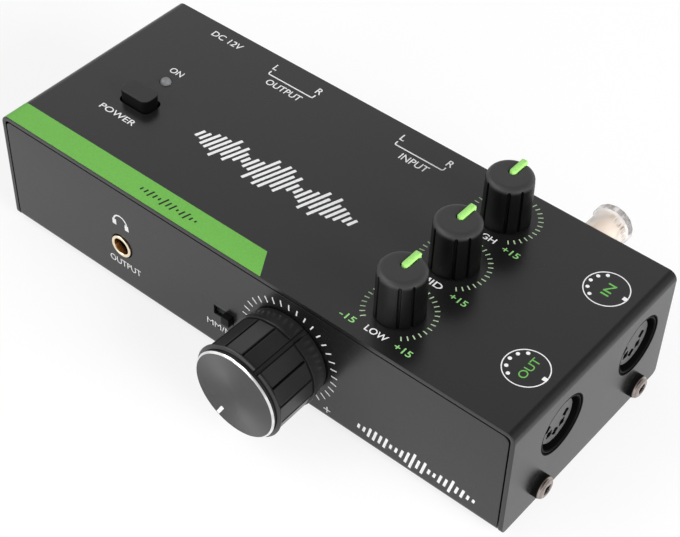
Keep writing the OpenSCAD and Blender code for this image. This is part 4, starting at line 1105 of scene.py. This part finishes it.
def printFront():
    white, soft = Print("front"), Print("front")
    dial = (volumeOrigin[0], volumeOrigin[2] - caseLow[2])
    white.ticks(dial, **volumeDial)
    waveBars(white, **bars["front"])
    white.make("front_white_print", "whiteInk", "mark_white")
    out, z, long, thin = frontMarks["sign"]
    for x in (dial[0] - out, dial[0] + out):
        soft.rectangle(x - long, x + long, z - thin, z + thin)
    for low, high in ((z + thin, z + long), (z - long, z - thin)):
        soft.rectangle(x - thin, x + thin, low, high)
    for label in frontLabels:
        soft.text(*label)
    (x, z), (out, half) = frontMarks["phones"], frontMarks["cup"]
    soft.arc((x, z), frontMarks["band"], 0.42, 10, 170, 24)
    for cup in (x - out, x + out):
        soft.rectangle(cup - half, cup + half, z - 1.45, z + 0.3)
    soft.make("front_grey_print", "softInk", "mark_white")


printTop()
printStripe()
printFront()
print("printing done")


# Nodes that keep their own shape
pots = ("volume_pot", "low_pot", "mid_pot", "high_pot")
keptNodes = {
    "board": ["main_board"],
    "sleeve": ["filter_capacitors"],
    "filmRed": ["film_capacitors"],
    "brass": ["board_standoffs"],
    "blackPlastic": ["amplifier_chips", "headphone_jack"],
    "zinc": ["board_screws", "mode_switch", "volume_pot_nut", "ground_post_locknut", "power_led_leads",
             *pots, *(pot + "_shaft" for pot in pots)],
    "paleMoulding": ["power_switch", "power_switch_plunger"],
    # The DIN contacts take black painted shade.
    "contactShadeBlack": ["din_contacts"],
    "nickel": ["power_inlet_pin"],
}
for finish, names in keptNodes.items():
    for name in names:
        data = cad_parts[name].data
        data.materials.clear()
        data.materials.append(finishes[finish])
print("kept nodes painted")


# Studio
studio = {"floorWhite": 0.94, "shadowShare": 0.22, "glossyGlow": 0.56, "skyLight": 0.36,
          "skyShine": 0.96, "skyFall": 0.34, "fallFrom": 0.5, "fallTo": 0.85,
          "bandLean": 0.8, "bandFall": 0.55, "bandFrom": 0.5, "bandTo": 0.8, "aim": (0, 0, 0.02),
          "lamps": [  # place, size, power, and whether reflections show it
              ((-1.0, -0.75, 1.2), 1.3, 11.5, True),
              ((1.35, -0.15, 0.5), 0.9, 30.0, False),
              ((-0.2, -1.3, 0.45), 1.0, 5.0, True)]}


# How far a ray is seen straight or through the clear nut, and how far by reflection.
def rays(tree):
    path = tree.nodes.new("ShaderNodeLightPath")
    camera, glossy, through = (Wire(tree, path.outputs["Is %s Ray" % kind])
                               for kind in ("Camera", "Glossy", "Transmission"))
    return camera.maths("MAXIMUM", through), glossy


# White floor that looks white to the camera and in part to reflections, and still takes the shadow.
def makeFloor():
    half = 4.0
    mesh = bpy.data.meshes.new("floor")
    square = [(x * half, y * half, 0) for x, y in ((-1, -1), (1, -1), (1, 1), (-1, 1))]
    mesh.from_pydata(square, [], [(0, 1, 2, 3)])
    made = Finish("floor_paper", colour=studio["floorWhite"], roughness=0.9, specular=0.1)
    seen, glossy = rays(made.tree)
    share = seen * (1 - studio["shadowShare"]) + glossy * studio["glossyGlow"]
    paper, glow = Wire(made.tree, made.shader.outputs[0]), made.add("ShaderNodeEmission")
    mixed = made.add("ShaderNodeMixShader", {}, {0: share, 1: paper, 2: glow})
    plug(made.tree, made.tree.nodes["Material Output"].inputs[0], mixed)
    mesh.materials.append(made.material)
    linked("floor", mesh)


# White to the camera, a softer white as light, and in reflections a white that falls off overhead and more so
# above the right-hand end.
def makeWorld():
    world = bpy.data.worlds.new("studio")
    bpy.context.scene.world = world
    world.use_nodes = True
    tree, s = world.node_tree, studio
    seen, glossy = rays(tree)
    direction = tree.nodes.new("ShaderNodeTexCoord")
    parts = tree.nodes.new("ShaderNodeSeparateXYZ")
    tree.links.new(direction.outputs["Generated"], parts.inputs[0])
    east, height = Wire(tree, parts.outputs[0]), Wire(tree, parts.outputs[2])
    shine = s["skyShine"] - height.ramp(s["fallFrom"], s["fallTo"]) * s["skyFall"]
    shine = shine - (height + east * s["bandLean"]).ramp(s["bandFrom"], s["bandTo"]) * s["bandFall"]
    back = tree.nodes["Background"]
    plug(tree, back.inputs[0], 1.0)
    plug(tree, back.inputs[1], seen * (1 - s["skyLight"]) + glossy * (shine - s["skyLight"]) + s["skyLight"])


def makeLamps():
    for number, (place, size, power, shows) in enumerate(studio["lamps"]):
        light = bpy.data.lights.new("softbox_%d" % number, "AREA")
        light.shape, light.size, light.energy = "DISK", size, power
        thing = linked(light.name, light)
        thing.visible_glossy = shows  # the side lamp would be a glare along the top
        out = np.subtract(place, studio["aim"])
        out /= np.linalg.norm(out)
        side = np.cross((0, 0, 1), out)
        side /= np.linalg.norm(side)
        thing.matrix_world = placement(side, np.cross(out, side), out, place)


makeFloor()
makeWorld()
makeLamps()
bpy.context.scene.view_settings.view_transform = "Standard"
print("studio done")
